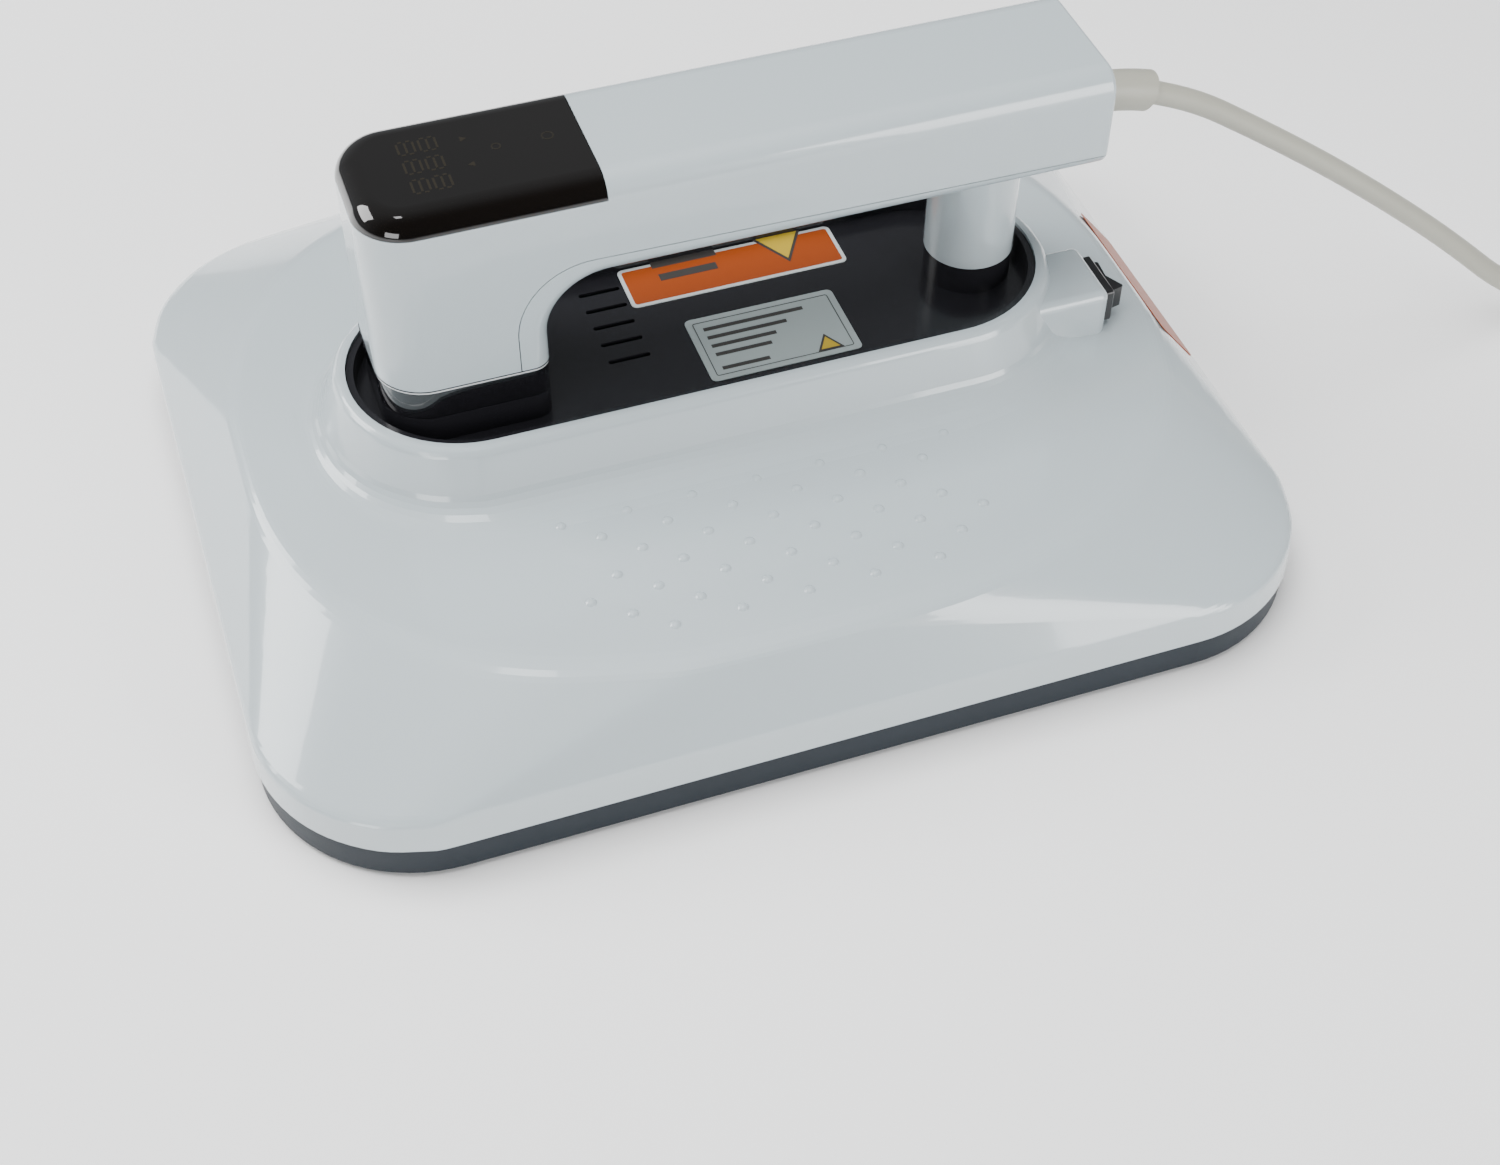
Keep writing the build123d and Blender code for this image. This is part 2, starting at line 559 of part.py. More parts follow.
def handle_parts():
    """Handle shell, under cover and display cover, cut from the same hollow body."""
    outside, hollow = handle_body(0), handle_body(HANDLE_WALL)
    wall = outside - hollow
    region, region_gap = seam_region(0), seam_region(SEAM_GAP)
    boot_hole = Pos(HANDLE_REAR, 0, BOOT_Z) * Rot(0, 90, 0) * Cylinder(BOOT_RADIUS + 0.05, 12)
    under = wall & region
    upper = wall - region_gap - block(-130, DISPLAY_END + 0.25, -40, 40, DISPLAY_EDGE - 0.25, 160)
    cover = (outside - handle_body(DISPLAY_THICK)) & block(-130, DISPLAY_END, -40, 40, DISPLAY_EDGE, 160)
    for x, y in COVER_SCREWS:
        under += rod(4.5, x, y, HANDLE_UNDER + 0.5, 120)
        under -= rod(3.4, x, y, 110, 117)
        under -= rod(1.7, x, y, 110, 121)
        upper += rod(3.8, x, y, 120, HANDLE_TOP - 1)
        upper -= rod(1.35, x, y, 119, 136)
    for x, y in PILLARS:
        cover += rod(2.5, x, y, DISPLAY_BOARD_Z + 1.6, HANDLE_TOP - 1)
        cover -= rod(1.0, x, y, 130, DISPLAY_BOARD_Z + 5.6)
    under -= rod(4.0, POST_X, 0, 105, 118)
    return upper - boot_hole, under - boot_hole, cover


def column_ring():
    """Thin bright ring under the column's seam."""
    ring = column_plan(0.0, COLUMN_RING_BOTTOM, COLUMN_BOTTOM - 0.25)
    ring = chamfer(ring.faces().sort_by(Axis.Z)[0].edges(), 0.5)
    return ring - column_plan(3.0, 70, 90)


def column_foot():
    """Black foot of the column, with screw bosses, standing on the deck's pedestal."""
    foot = column_plan(COLUMN_INSET, PEDESTAL_TOP, COLUMN_RING_BOTTOM)
    foot -= column_plan(COLUMN_INSET + HANDLE_WALL, PEDESTAL_TOP + HANDLE_WALL, 90)
    for x, y in HANDLE_SCREWS:
        foot += rod(4.5, x, y, PEDESTAL_TOP + 1, COLUMN_RING_BOTTOM + 6)
        foot -= rod(1.6, x, y, PEDESTAL_TOP - 1, COLUMN_RING_BOTTOM + 4)
    foot -= block(RIBBON_X - 2, RIBBON_X + 2, -8, 8, 60, 80)
    return foot


def rear_post():
    """White tube that carries the cord end of the bar."""
    low = PEDESTAL_TOP + 0.5
    post = rod(POST_RADIUS, POST_X, 0, low, HANDLE_UNDER)
    post -= rod(POST_RADIUS - POST_WALL, POST_X, 0, low + 3, HANDLE_UNDER + 1)
    post -= rod(4.0, POST_X, 0, 60, 90)
    for x, y in POST_SCREWS:
        post += rod(3.6, x, y, low, low + 14)
        post -= rod(1.6, x, y, 60, low + 12)
    return post


def handle_screws():
    """Screws from under the deck's pedestals into the column foot and the rear post."""
    head_z = PEDESTAL_TOP - PEDESTAL_WALL
    places = HANDLE_SCREWS + POST_SCREWS
    return Compound(children=[screw(x, y, head_z, 1, 3.4, 2.4, 1.55, 12) for x, y in places])


def cover_screws():
    """Screws from below that join the under cover to the handle shell."""
    return Compound(children=[screw(x, y, 117, 1, 3.0, 2.2, 1.3, 17) for x, y in COVER_SCREWS])


# ---------------------------------------------------------------- display
DISPLAY_BOARD_Z = 136.4
TOUCH_KEYS = [(-69.0, -4.4), (-69.0, 8.2), (-60.5, 1.6), (-45.0, 1.8)]


def display_board():
    """Circuit board under the dark cover."""
    board = block(-101, -38.5, -19, 19, DISPLAY_BOARD_Z, DISPLAY_BOARD_Z + 1.6)
    board = fillet(board.edges().filter_by(Axis.Z).group_by(Axis.X)[0], 12)
    for x, y in PILLARS:
        board -= rod(1.3, x, y, 130, 140)
    return board


def digit_display():
    """Module with two rows of three digits."""
    body = block(-90, -74.5, -8.6, 8.6, DISPLAY_BOARD_Z + 1.6, HANDLE_TOP - DISPLAY_THICK - 0.4)
    return fillet(body.edges().filter_by(Axis.Z), 0.6)


def touch_springs():
    """Touch key springs between board and cover."""
    low, top = DISPLAY_BOARD_Z + 1.6, HANDLE_TOP - DISPLAY_THICK
    springs = [rod(2.6, x, y, low, top) - rod(1.8, x, y, low - 1, top + 1) for x, y in TOUCH_KEYS]
    return Compound(children=springs)


def display_screws():
    """Screws that hold the display board to the cover's pillars."""
    return Compound(children=[screw(x, y, DISPLAY_BOARD_Z, 1, 2.2, 1.6, 0.95, 5.2) for x, y in PILLARS])


def buzzer():
    """Round sounder under the display board."""
    can = rod(6.0, -60, 0, DISPLAY_BOARD_Z - 7, DISPLAY_BOARD_Z)
    return can - rod(1.2, -60, 0, DISPLAY_BOARD_Z - 8, DISPLAY_BOARD_Z - 5)


def display_ribbon():
    """Flat lead from the power board up the column to the display board."""
    return block(RIBBON_X - 0.6, RIBBON_X + 0.6, -6, 6, BOARD_Z + BOARD_THICK, DISPLAY_BOARD_Z)


def mains_lead():
    """Inner mains lead: along the bar, down the post and across to the terminal block."""
    low = BOARD_Z - 6
    path = FilletPolyline((121, 0, BOOT_Z), (POST_X, 0, BOOT_Z), (POST_X, 0, low), (23, 0, low), radius=12)
    return along(path, Circle(2.6))


def cord_clamp():
    """Saddle with two screws that holds the lead inside the bar."""
    saddle = block(100, 108, -11, 11, HANDLE_UNDER + HANDLE_WALL, BOOT_Z + 4.4)
    saddle -= block(99, 109, -2.7, 2.7, 100, BOOT_Z + 2.7)
    return saddle


# ---------------------------------------------------------------- switch
def switch_body():
    """Bezel and case of the rocker switch, with bearing holes for the rocker."""
    half_y, half_z = BEZEL_LENGTH / 2, BEZEL_HEIGHT / 2
    face = BOX_END + BEZEL_THICK
    body = block(BOX_END, face, SWITCH_Y - half_y, SWITCH_Y + half_y, SWITCH_Z - half_z, SWITCH_Z + half_z)
    body = fillet(body.edges().filter_by(Axis.X), 1.2)
    body = chamfer(body.faces().sort_by(Axis.X)[-1].edges(), 0.5)
    case_y, case_z = half_y - 1.3, half_z - 1.1
    y_low, y_high = SWITCH_Y - case_y, SWITCH_Y + case_y
    body += block(118, BOX_END + 1, y_low, y_high, SWITCH_Z - case_z, SWITCH_Z + case_z)
    mouth_y, mouth_z = ROCKER_LENGTH / 2 + 0.8, ROCKER_HEIGHT / 2 + 0.3
    body -= block(122, 140, SWITCH_Y - mouth_y, SWITCH_Y + mouth_y, SWITCH_Z - mouth_z, SWITCH_Z + mouth_z)
    reach = mouth_z + 1.3
    bearing = TRUNNION_RADIUS + TRUNNION_PLAY
    body -= rod(bearing, ROCKER_AXIS_X, SWITCH_Y, SWITCH_Z - reach, SWITCH_Z + reach)
    return body


def rocker():
    """Rocker with a hollowed face, tilted so that its near end stands out."""
    half = ROCKER_LENGTH / 2
    face = [(5.6, -half), (3.4, 0), (5.6, half)]
    back = [(-1.6, half), (-5.0, 3.0), (-6.6, 0), (-5.0, -3.0), (-1.6, -half)]
    outline = Polyline(*face, *back, close=True)
    body = extrude(make_face(outline), ROCKER_HEIGHT / 2, both=True)
    body = fillet(body.edges().filter_by(Axis.Z).filter_by(lambda e: e.center().X > 5), 0.8)
    pins = Cylinder(TRUNNION_RADIUS, ROCKER_HEIGHT + 2 * 1.4)
    return Pos(ROCKER_AXIS_X, SWITCH_Y, SWITCH_Z) * Rot(0, 0, ROCKER_TILT) * (body + pins)


def switch_terminals():
    """Two blades at the back of the switch."""
    blades = []
    for y in (SWITCH_Y - 4.5, SWITCH_Y + 4.5):
        blades.append(block(113.5, 118, y - 2.4, y + 2.4, SWITCH_Z - 0.4, SWITCH_Z + 0.4))
    return Compound(children=blades)


# ---------------------------------------------------------------- cord
BOOT_END = (
    HANDLE_REAR + BOOT_BEND * math.sin(math.radians(BOOT_TURN)),
    0.0,
    BOOT_Z - BOOT_BEND * (1 - math.cos(math.radians(BOOT_TURN))),
)
COIL_TOP = COIL_BOTTOM + LAYER_RISE + 2 * CORD_RADIUS
PLUG_X, PLUG_Y = COIL_X + COIL_LEAVE, COIL_Y - PLUG_LEAD
PLUG_Z = COIL_BOTTOM + LAYER_RISE + CORD_RADIUS
PLUG_FACE = PLUG_Y - PLUG_BOOT - PLUG_LENGTH
CORD_ROUTE = [
    BOOT_END,
    (BOOT_END[0] + 16.0, 0.0, BOOT_END[2] - 16.0 * math.tan(math.radians(BOOT_TURN))),
    (192.0, -2.5, 97.0),
    (222.0, -7.5, 77.5),
    (250.0, -13.0, 57.5),
    (275.0, -17.5, 38.0),
    (300.0, -22.0, 16.0),
    (322.0, -26.0, COIL_BOTTOM + CORD_RADIUS),
    (345.0, -26.0, COIL_BOTTOM + CORD_RADIUS),
]


def corner_radii(points):
    """Largest arc that the two runs beside each corner allow, with room to spare."""
    radii = []
    for before, corner, after in zip(points, points[1:], points[2:]):
        run_in, run_out = Vector(*corner) - Vector(*before), Vector(*after) - Vector(*corner)
        half_turn = math.radians(run_in.get_angle(run_out)) / 2
        radii.append(0.45 * min(run_in.length, run_out.length) / math.tan(half_turn))
    return radii


def strain_relief():
    """Flexible boot that droops from the handle, with a collar inside the wall."""
    start = Plane(origin=(HANDLE_REAR, 0, BOOT_Z), x_dir=(0, 1, 0), z_dir=(1, 0, 0))
    axis = Axis((HANDLE_REAR, 0, BOOT_Z - BOOT_BEND), (0, 1, 0))
    boot = revolve(start * Circle(BOOT_RADIUS), axis, BOOT_TURN)
    neck = Rot(0, 90, 0) * Cylinder(BOOT_RADIUS, HANDLE_WALL)
    collar = Rot(0, 90, 0) * Cylinder(7.0, 2.8)
    wall_x = HANDLE_REAR - HANDLE_WALL
    return boot + Pos(wall_x + HANDLE_WALL / 2, 0, BOOT_Z) * neck + Pos(wall_x - 1.4, 0, BOOT_Z) * collar


def power_cord():
    """Free stretch of the cord from the boot to the coil."""
    radii = corner_radii(CORD_ROUTE)
    print("cord radii", [round(radius, 1) for radius in radii])
    path = FilletPolyline(*CORD_ROUTE, radius=radii)
    tube = along(path, Circle(CORD_RADIUS))
    share = tube.volume / (path.length * math.pi * CORD_RADIUS**2)
    print("cord length", round(path.length, 1), "volume share", round(share, 4))
    return tube


def cord_coil():
    """Outer form of the stored turns, in two layers, with both ends."""
    radius, thick = CORD_RADIUS, 2 * CORD_RADIUS
    low, middle, high = COIL_BOTTOM, COIL_TOP - thick, COIL_TOP
    ring = rod(COIL_OUTER + radius, COIL_X, COIL_Y, low, middle)
    ring += rod(COIL_LEAVE + radius, COIL_X, COIL_Y, middle - 1, high)
    ring -= rod(COIL_INNER - radius, COIL_X, COIL_Y, low - 1, high + 1)
    start_x, start_y = CORD_ROUTE[-1][0], CORD_ROUTE[-1][1]
    ring += block(start_x, COIL_X + 6, start_y - radius, start_y + radius, low, low + thick)
    ring += block(PLUG_X - radius, PLUG_X + radius, PLUG_Y, COIL_Y, middle, high)
    return ring


def cord_tie():
    """Strap round the stored turns."""
    inner_y = COIL_Y - (COIL_INNER - CORD_RADIUS) + 1.3
    outer_y = COIL_Y - (COIL_OUTER + CORD_RADIUS) - 0.3
    x_low, x_high = COIL_X - TIE_WIDTH / 2, COIL_X + TIE_WIDTH / 2
    low, high = COIL_BOTTOM - TIE_THICK, COIL_TOP + TIE_THICK
    strap = block(x_low, x_high, outer_y - TIE_THICK, inner_y + TIE_THICK, low, high)
    return strap - block(x_low - 1, x_high + 1, outer_y, inner_y, COIL_BOTTOM, COIL_TOP)


def plug_body():
    """Moulded plug with a tapered boot."""
    cone = Cone(CORD_RADIUS + 1.4, CORD_RADIUS + 4.6, PLUG_BOOT)
    boot = Pos(PLUG_X, PLUG_Y - PLUG_BOOT / 2, PLUG_Z) * Rot(90, 0, 0) * cone
    x_low, x_high = PLUG_X - PLUG_WIDTH / 2, PLUG_X + PLUG_WIDTH / 2
    body = block(x_low, x_high, PLUG_FACE, PLUG_Y - PLUG_BOOT, 0.1, 2 * PLUG_Z - 0.1)
    body = fillet(body.edges().filter_by(Axis.Y), 6.0)
    body = fillet(body.faces().sort_by(Axis.Y)[-1].edges(), 3.0)
    return boot + body


def plug_blades():
    """Two flat blades and a round earth pin."""
    pieces = [Pos(PLUG_X, PLUG_FACE - 10, PLUG_Z + 8.0) * Rot(90, 0, 0) * Cylinder(2.4, 20)]
    for x in (PLUG_X - 6.35, PLUG_X + 6.35):
        pieces.append(block(x - 0.75, x + 0.75, PLUG_FACE - 17.5, PLUG_FACE, PLUG_Z - 6.2, PLUG_Z + 0.15))
    return Compound(children=pieces)


# ---------------------------------------------------------------- build
def main():
    """Write every sub-part."""
    os.makedirs("parts", exist_ok=True)
    top_shell, shell_collar = shell_parts()
    save("top_shell", top_shell)
    save("shell_collar", shell_collar)
    inner_deck, deck_rim, deck_pedestals = deck_parts()
    save("inner_deck", inner_deck)
    save("deck_rim", deck_rim)
    save("deck_pedestals", deck_pedestals)
    handle_shell, handle_under_cover, display_cover = handle_parts()
    save("handle_shell", handle_shell)
    save("handle_under_cover", handle_under_cover)
    save("display_cover", display_cover)
    save("spec_label", label(21.0, -12.0, 51.0, 30.5))
    save("caution_label", label(19.7, 24.6, 75.0, 19.6))
    makers = [
        heating_plate, heating_element, element_clamps, insulation_blanket, heat_shield, plate_screws,
        temperature_sensor, thermal_cutout, base_skirt, shell_screws, deck_screws,
        rear_label, power_board, board_screws, relay, transformer, capacitors, terminal_block, heater_leads,
        column_ring, column_foot, rear_post, handle_screws, cover_screws, display_board, digit_display,
        touch_springs, display_screws, buzzer, display_ribbon, mains_lead, cord_clamp, switch_body, rocker,
        switch_terminals, strain_relief, power_cord, cord_coil, cord_tie, plug_body, plug_blades,
    ]
    for maker in makers:
        save(maker.__name__, maker())


if __name__ == "__main__":
    main()
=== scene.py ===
"""Looks of a hand-held heat press: finishes, cord, printed labels, display marks, stage and camera."""

import json
import math

import bpy
from bpy.props import FloatProperty, FloatVectorProperty, PointerProperty
from mathutils import Matrix, Vector

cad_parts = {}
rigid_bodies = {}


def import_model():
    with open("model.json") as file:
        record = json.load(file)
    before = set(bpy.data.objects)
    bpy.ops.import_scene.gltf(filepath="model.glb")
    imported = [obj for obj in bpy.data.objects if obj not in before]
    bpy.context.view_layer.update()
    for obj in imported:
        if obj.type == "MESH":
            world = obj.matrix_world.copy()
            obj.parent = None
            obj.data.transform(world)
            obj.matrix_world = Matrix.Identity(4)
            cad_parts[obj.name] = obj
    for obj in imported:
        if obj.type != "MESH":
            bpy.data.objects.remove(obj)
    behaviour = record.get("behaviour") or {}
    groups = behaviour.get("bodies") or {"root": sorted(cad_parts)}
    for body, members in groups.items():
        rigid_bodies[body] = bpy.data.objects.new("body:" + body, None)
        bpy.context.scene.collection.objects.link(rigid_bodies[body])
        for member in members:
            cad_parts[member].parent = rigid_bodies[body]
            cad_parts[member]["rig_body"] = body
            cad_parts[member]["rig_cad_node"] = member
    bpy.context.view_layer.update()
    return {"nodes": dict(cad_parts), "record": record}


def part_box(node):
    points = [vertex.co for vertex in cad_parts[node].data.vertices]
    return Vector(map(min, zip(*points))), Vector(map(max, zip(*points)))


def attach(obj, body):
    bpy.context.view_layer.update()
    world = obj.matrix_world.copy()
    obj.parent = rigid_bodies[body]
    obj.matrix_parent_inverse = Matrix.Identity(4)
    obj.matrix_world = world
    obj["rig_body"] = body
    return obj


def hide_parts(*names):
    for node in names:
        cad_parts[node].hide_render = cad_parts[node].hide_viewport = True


bl_info = {
    "name": "Heat press looks",
    "version": (1, 0, 0),
    "blender": (4, 5, 0),
    "location": "3D View > Sidebar > Heat press",
    "description": "Builds the visible pieces and finishes of a hand-held heat press round its frame",
    "category": "Object",
}

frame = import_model()
NODES = frame["nodes"]
MM = 0.001

# ---- places taken from the frame
COVER_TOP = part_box("display_cover")[1].z
SPEC_LOW, SPEC_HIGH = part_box("spec_label")
CAUTION_LOW, CAUTION_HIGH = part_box("caution_label")
PLUG_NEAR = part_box("plug_body")[1].y

# ---- the cord's route, from the strain relief to the stored turns
CORD_ROUTE = [
    (0.15147, 0.0, 0.11820),
    (0.16747, 0.0, 0.11237),
    (0.192, -0.0025, 0.097),
    (0.222, -0.0075, 0.0775),
    (0.250, -0.013, 0.0575),
    (0.275, -0.0175, 0.038),
    (0.300, -0.022, 0.016),
    (0.322, -0.026, 0.0051),
    (0.345, -0.026, 0.0051),
]
COIL_CENTRE = (0.376, -0.083)
COIL_INNER, COIL_OUTER, COIL_LEAVE = 0.0339, 0.0570, 0.0504
COIL_LOW_Z, COIL_HIGH_Z = 0.0051, 0.0128
COIL_STEP = 15  # degrees between two points of a turn
TURNED_LOW, TURNED_UP, TURNED_ALL = 1080, 1120, 1890  # degrees: lower layer done, climbed, end
LEAD_GAPS = (27 * MM, 13 * MM, 0.0)  # last points of the cord, from the plug's near end
BOOT_SLIM = 0.84  # how slim the shown boot is against its frame node

# ---- near-black sliver over the column's ring: painted shadow in the seam
SHADOW_LINE_PROUD, SHADOW_LINE_HEIGHT, SHADOW_LINE_RISE = 0.3 * MM, 0.42 * MM, 0.2 * MM

# ---- display marks: a digit's upper side points along +X
DIGIT_HEIGHT, DIGIT_WIDTH, SEGMENT = 4.8 * MM, 6.2 * MM, 0.7 * MM
DIGIT_ROWS, DIGIT_COLUMNS = (-85.5 * MM, -79.0 * MM), (9.0 * MM, -0.3 * MM, -9.6 * MM)
SEGMENT_GAP = 1.6  # gap at a bar's end, in half bar widths
ARROWS = ((-69.0 * MM, -4.4 * MM, 180.0), (-69.0 * MM, 8.2 * MM, 0.0))  # x, y, turn
ARROW_RADIUS = 1.4 * MM
RINGS = ((-60.5 * MM, 1.6 * MM, 1.5 * MM), (-45.0 * MM, 1.8 * MM, 1.9 * MM))  # x, y, radius
RING_LINE = 0.4 * MM

# ---- silver sticker's prints
SPEC_EDGE, SPEC_CORNER, SPEC_LINE = 2.2 * MM, 0.8 * MM, 0.3 * MM
SPEC_LEFT, SPEC_FIRST_ROW, SPEC_ROW_STEP = 5.0 * MM, 6.0 * MM, 4.2 * MM
SPEC_ROWS = (34 * MM, 27 * MM, 22 * MM, 19 * MM)
SPEC_LAST_ROW, SPEC_LAST_LENGTH, SPEC_BAR_HALF = 5.2 * MM, 16 * MM, 0.8 * MM

# ---- orange sticker's prints: its dark bars, and each triangle's middle x, tip y and height
CAUTION_EDGE, CAUTION_CORNER = 1.3 * MM, 1.0 * MM
CAUTION_ROWS = ((-6.0 * MM, 22.5 * MM, 33.5 * MM), (-5.0 * MM, 20.0 * MM, 26.7 * MM))  # x, length, y
CAUTION_BAR_HALF = 1.7 * MM
DARK_TRIANGLE = (38.8 * MM, 20.5 * MM, 16.5 * MM)
DARK_SMALL_TRIANGLE = (36.5 * MM, -24.8 * MM, 7.8 * MM)
YELLOW_TRIANGLE = (38.8 * MM, 22.5 * MM, 12.5 * MM)
YELLOW_SMALL_TRIANGLE = (36.5 * MM, -24.0 * MM, 5.5 * MM)
TRIANGLE_HALF = 0.58  # half base of a triangle for its height

# ---- camera and lights
CAMERA_PLACE = (-0.16457, -0.51289, 0.53191)
CAMERA_AZIMUTH, CAMERA_ELEVATION, CAMERA_ROLL = -19.601, 47.792, 0.432
FLOOR_SIZE = 12.0
# name, place, point it faces, width and height, watts, shown in gloss
SOFT_BOXES = (
    ("top box", (-0.20, 0.05, 1.75), (0.0, 0.0, 0.05), (1.7, 1.2), 50.0, False),
    ("edge box", (-0.30, 0.0, 1.60), (0.0, 0.0, 0.10), (0.22, 0.22), 1.2, True),
    ("left box", (-1.15, 0.62, 0.85), (0.0, 0.0, 0.05), (0.9, 0.75), 21.0, True),
    ("right box", (0.74, -1.15, 0.475), (0.07, -0.13, 0.03), (0.60, 0.85), 15.0, True),
    ("front box", (-1.05, -1.15, 0.42), (0.0, 0.0, 0.08), (0.7, 0.5), 7.0, True),
)


# ------------------------------------------------------------------ user settings
class FinishSettings(bpy.types.PropertyGroup):
    """Colours and gloss of the press."""

    shell: FloatVectorProperty(
        name="Shell",
        description="Colour of the white moulded housing and grip",
        subtype="COLOR",
        size=3,
        min=0.0,
        max=1.0,
        default=(0.43, 0.49, 0.515),
    )
    deck: FloatVectorProperty(
        name="Deck",
        description="Colour of the black deck and column foot",
        subtype="COLOR",
        size=3,
        min=0.0,
        max=1.0,
        default=(0.010, 0.010, 0.012),
    )
    skirt: FloatVectorProperty(
        name="Skirt",
        description="Colour of the heat-proof ring round the plate",
        subtype="COLOR",
        size=3,
        min=0.0,
        max=1.0,
        default=(0.007, 0.012, 0.018),
    )
    cord: FloatVectorProperty(
        name="Cord",
        description="Colour of the cord, its boot and its plug",
        subtype="COLOR",
        size=3,
        min=0.0,
        max=1.0,
        default=(0.37, 0.365, 0.31),
    )
    shell_gloss: FloatProperty(
        name="Shell roughness",
        description="Roughness of the white moulded housing",
        subtype="FACTOR",
        min=0.0,
        max=1.0,
        default=0.24,
    )


class SizeSettings(bpy.types.PropertyGroup):
    """Sizes that belong to the looks."""

    cord_length: FloatProperty(
        name="Cord length",
        description="Real length of the mains cord from its boot to its plug",
        unit="LENGTH",
        min=0.5,
        max=5.0,
        default=1.75,
    )
    cord_diameter: FloatProperty(
        name="Cord diameter",
        description="Outer diameter of the mains cord",
        unit="LENGTH",
        min=0.004,
        max=0.012,
        default=0.0076,
    )
    print_height: FloatProperty(
        name="Print height",
        description="How far printed marks stand above their label",
        unit="LENGTH",
        min=0.00001,
        max=0.0005,
        default=0.00006,
    )
    lens: FloatProperty(
        name="Lens",
        description="Focal length of the camera for a 36 mm sensor, in millimetres",
        unit="CAMERA",
        min=10.0,
        max=300.0,
        default=52.575,
    )


# ------------------------------------------------------------------ mesh helpers
def deselect():
    """Nothing is selected afterwards."""
    bpy.ops.object.select_all(action="DESELECT")


def activate(piece):
    """Make one piece the active and only selected one."""
    deselect()
    piece.select_set(True)
    bpy.context.view_layer.objects.active = piece


def apply_place(piece):
    """Move a piece's place, turn and scale into its mesh."""
    activate(piece)
    bpy.ops.object.transform_apply(location=True, rotation=True, scale=True)


def apply_modifiers(piece):
    """Turn all live modifiers of a piece into mesh."""
    activate(piece)
    for modifier in list(piece.modifiers):
        bpy.ops.object.modifier_apply(modifier=modifier.name)


def round_edges(piece, width, segments=2, angle=40):
    """Round the sharp edges of a piece and shade it smooth."""
    bevel = piece.modifiers.new("round", "BEVEL")
    bevel.width = width
    bevel.segments = segments
    bevel.limit_method = "ANGLE"
    bevel.angle_limit = math.radians(angle)
    apply_modifiers(piece)
    smooth(piece)


def smooth(piece, angle=35):
    """Shade a piece smooth across its gentle edges."""
    activate(piece)
    bpy.ops.object.shade_smooth_by_angle(angle=math.radians(angle))


def join(pieces, name):
    """Join several pieces into one."""
    activate(pieces[0])
    for piece in pieces:
        piece.select_set(True)
    if len(pieces) > 1:
        bpy.ops.object.join()
    joined = bpy.context.view_layer.objects.active
    joined.name = name
    joined.data.name = name
    return joined


def block(low, high, name="block"):
    """Box between two corners."""
    deselect()
    centre = [(a + b) / 2 for a, b in zip(low, high)]
    bpy.ops.mesh.primitive_cube_add(size=1.0, location=centre)
    piece = bpy.context.object
    piece.scale = [b - a for a, b in zip(low, high)]
    piece.name = name
    apply_place(piece)
    return piece


def plate_piece(corners, base, height, name="plate"):
    """Thin plate over a flat outline given by its corners, seen from above in turn."""
    deselect()
    bpy.ops.mesh.primitive_circle_add(vertices=len(corners), radius=1.0, fill_type="NGON")
    piece = bpy.context.object
    piece.name = name
    for vertex, (x, y) in zip(piece.data.vertices, corners):
        vertex.co = (x, y, base)
    activate(piece)
    bpy.ops.object.mode_set(mode="EDIT")
    bpy.ops.mesh.select_all(action="SELECT")
    bpy.ops.mesh.extrude_region_move(TRANSFORM_OT_translate={"value": (0, 0, height)})
    bpy.ops.mesh.select_all(action="SELECT")
    bpy.ops.mesh.normals_make_consistent(inside=False)
    bpy.ops.object.mode_set(mode="OBJECT")
    return piece


def rounded_corners(x_low, x_high, y_low, y_high, radius, steps=5):
    """Corners of a rectangle with round corners."""
    corners = []
    for turn, (x, y) in enumerate(
        [
            (x_high - radius, y_high - radius),
            (x_low + radius, y_high - radius),
            (x_low + radius, y_low + radius),
            (x_high - radius, y_low + radius),
        ]
    ):
        for step in range(steps + 1):
            angle = math.radians(90 * (turn + step / steps))
            corners.append((x + radius * math.cos(angle), y + radius * math.sin(angle)))
    return corners


def frame_print(x_low, x_high, y_low, y_high, radius, line, base, height, name):
    """Printed line that follows a rectangle with round corners."""
    outer = rounded_corners(x_low, x_high, y_low, y_high, radius)
    inner_radius = max(radius - line, 0.0001)
    inner = rounded_corners(x_low + line, x_high - line, y_low + line, y_high - line, inner_radius)
    deselect()
    bpy.ops.mesh.primitive_circle_add(vertices=len(outer), radius=1.0, fill_type="NOTHING")
    piece = bpy.context.object
    piece.name = name
    for vertex, (x, y) in zip(piece.data.vertices, outer):
        vertex.co = (x, y, base)
    activate(piece)
    bpy.ops.object.mode_set(mode="EDIT")
    bpy.ops.mesh.select_all(action="SELECT")
    bpy.ops.mesh.extrude_edges_move(TRANSFORM_OT_translate={"value": (0, 0, 0)})
    bpy.ops.object.mode_set(mode="OBJECT")
    for vertex, (x, y) in zip(list(piece.data.vertices)[len(outer):], inner):
        vertex.co = (x, y, base)
    activate(piece)
    bpy.ops.object.mode_set(mode="EDIT")
    bpy.ops.mesh.select_all(action="SELECT")
    bpy.ops.mesh.extrude_region_move(TRANSFORM_OT_translate={"value": (0, 0, height)})
    bpy.ops.mesh.select_all(action="SELECT")
    bpy.ops.mesh.normals_make_consistent(inside=False)
    bpy.ops.object.mode_set(mode="OBJECT")
    return piece


def finish_piece(piece, material, body="root", replaces=()):
    """Give a piece its finish and the body it rides on."""
    apply_place(piece)
    piece.data.materials.clear()
    piece.data.materials.append(material)
    for polygon in piece.data.polygons:
        polygon.material_index = 0
    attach(piece, body)
    if replaces:
        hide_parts(*replaces)
    return piece


# ------------------------------------------------------------------ shader groups
def group_socket(group, name, way, kind, value=None):
    """Add one named socket to a node group."""
    socket = group.interface.new_socket(name=name, in_out=way, socket_type=kind)
    if value is not None:
        socket.default_value = value
    return socket


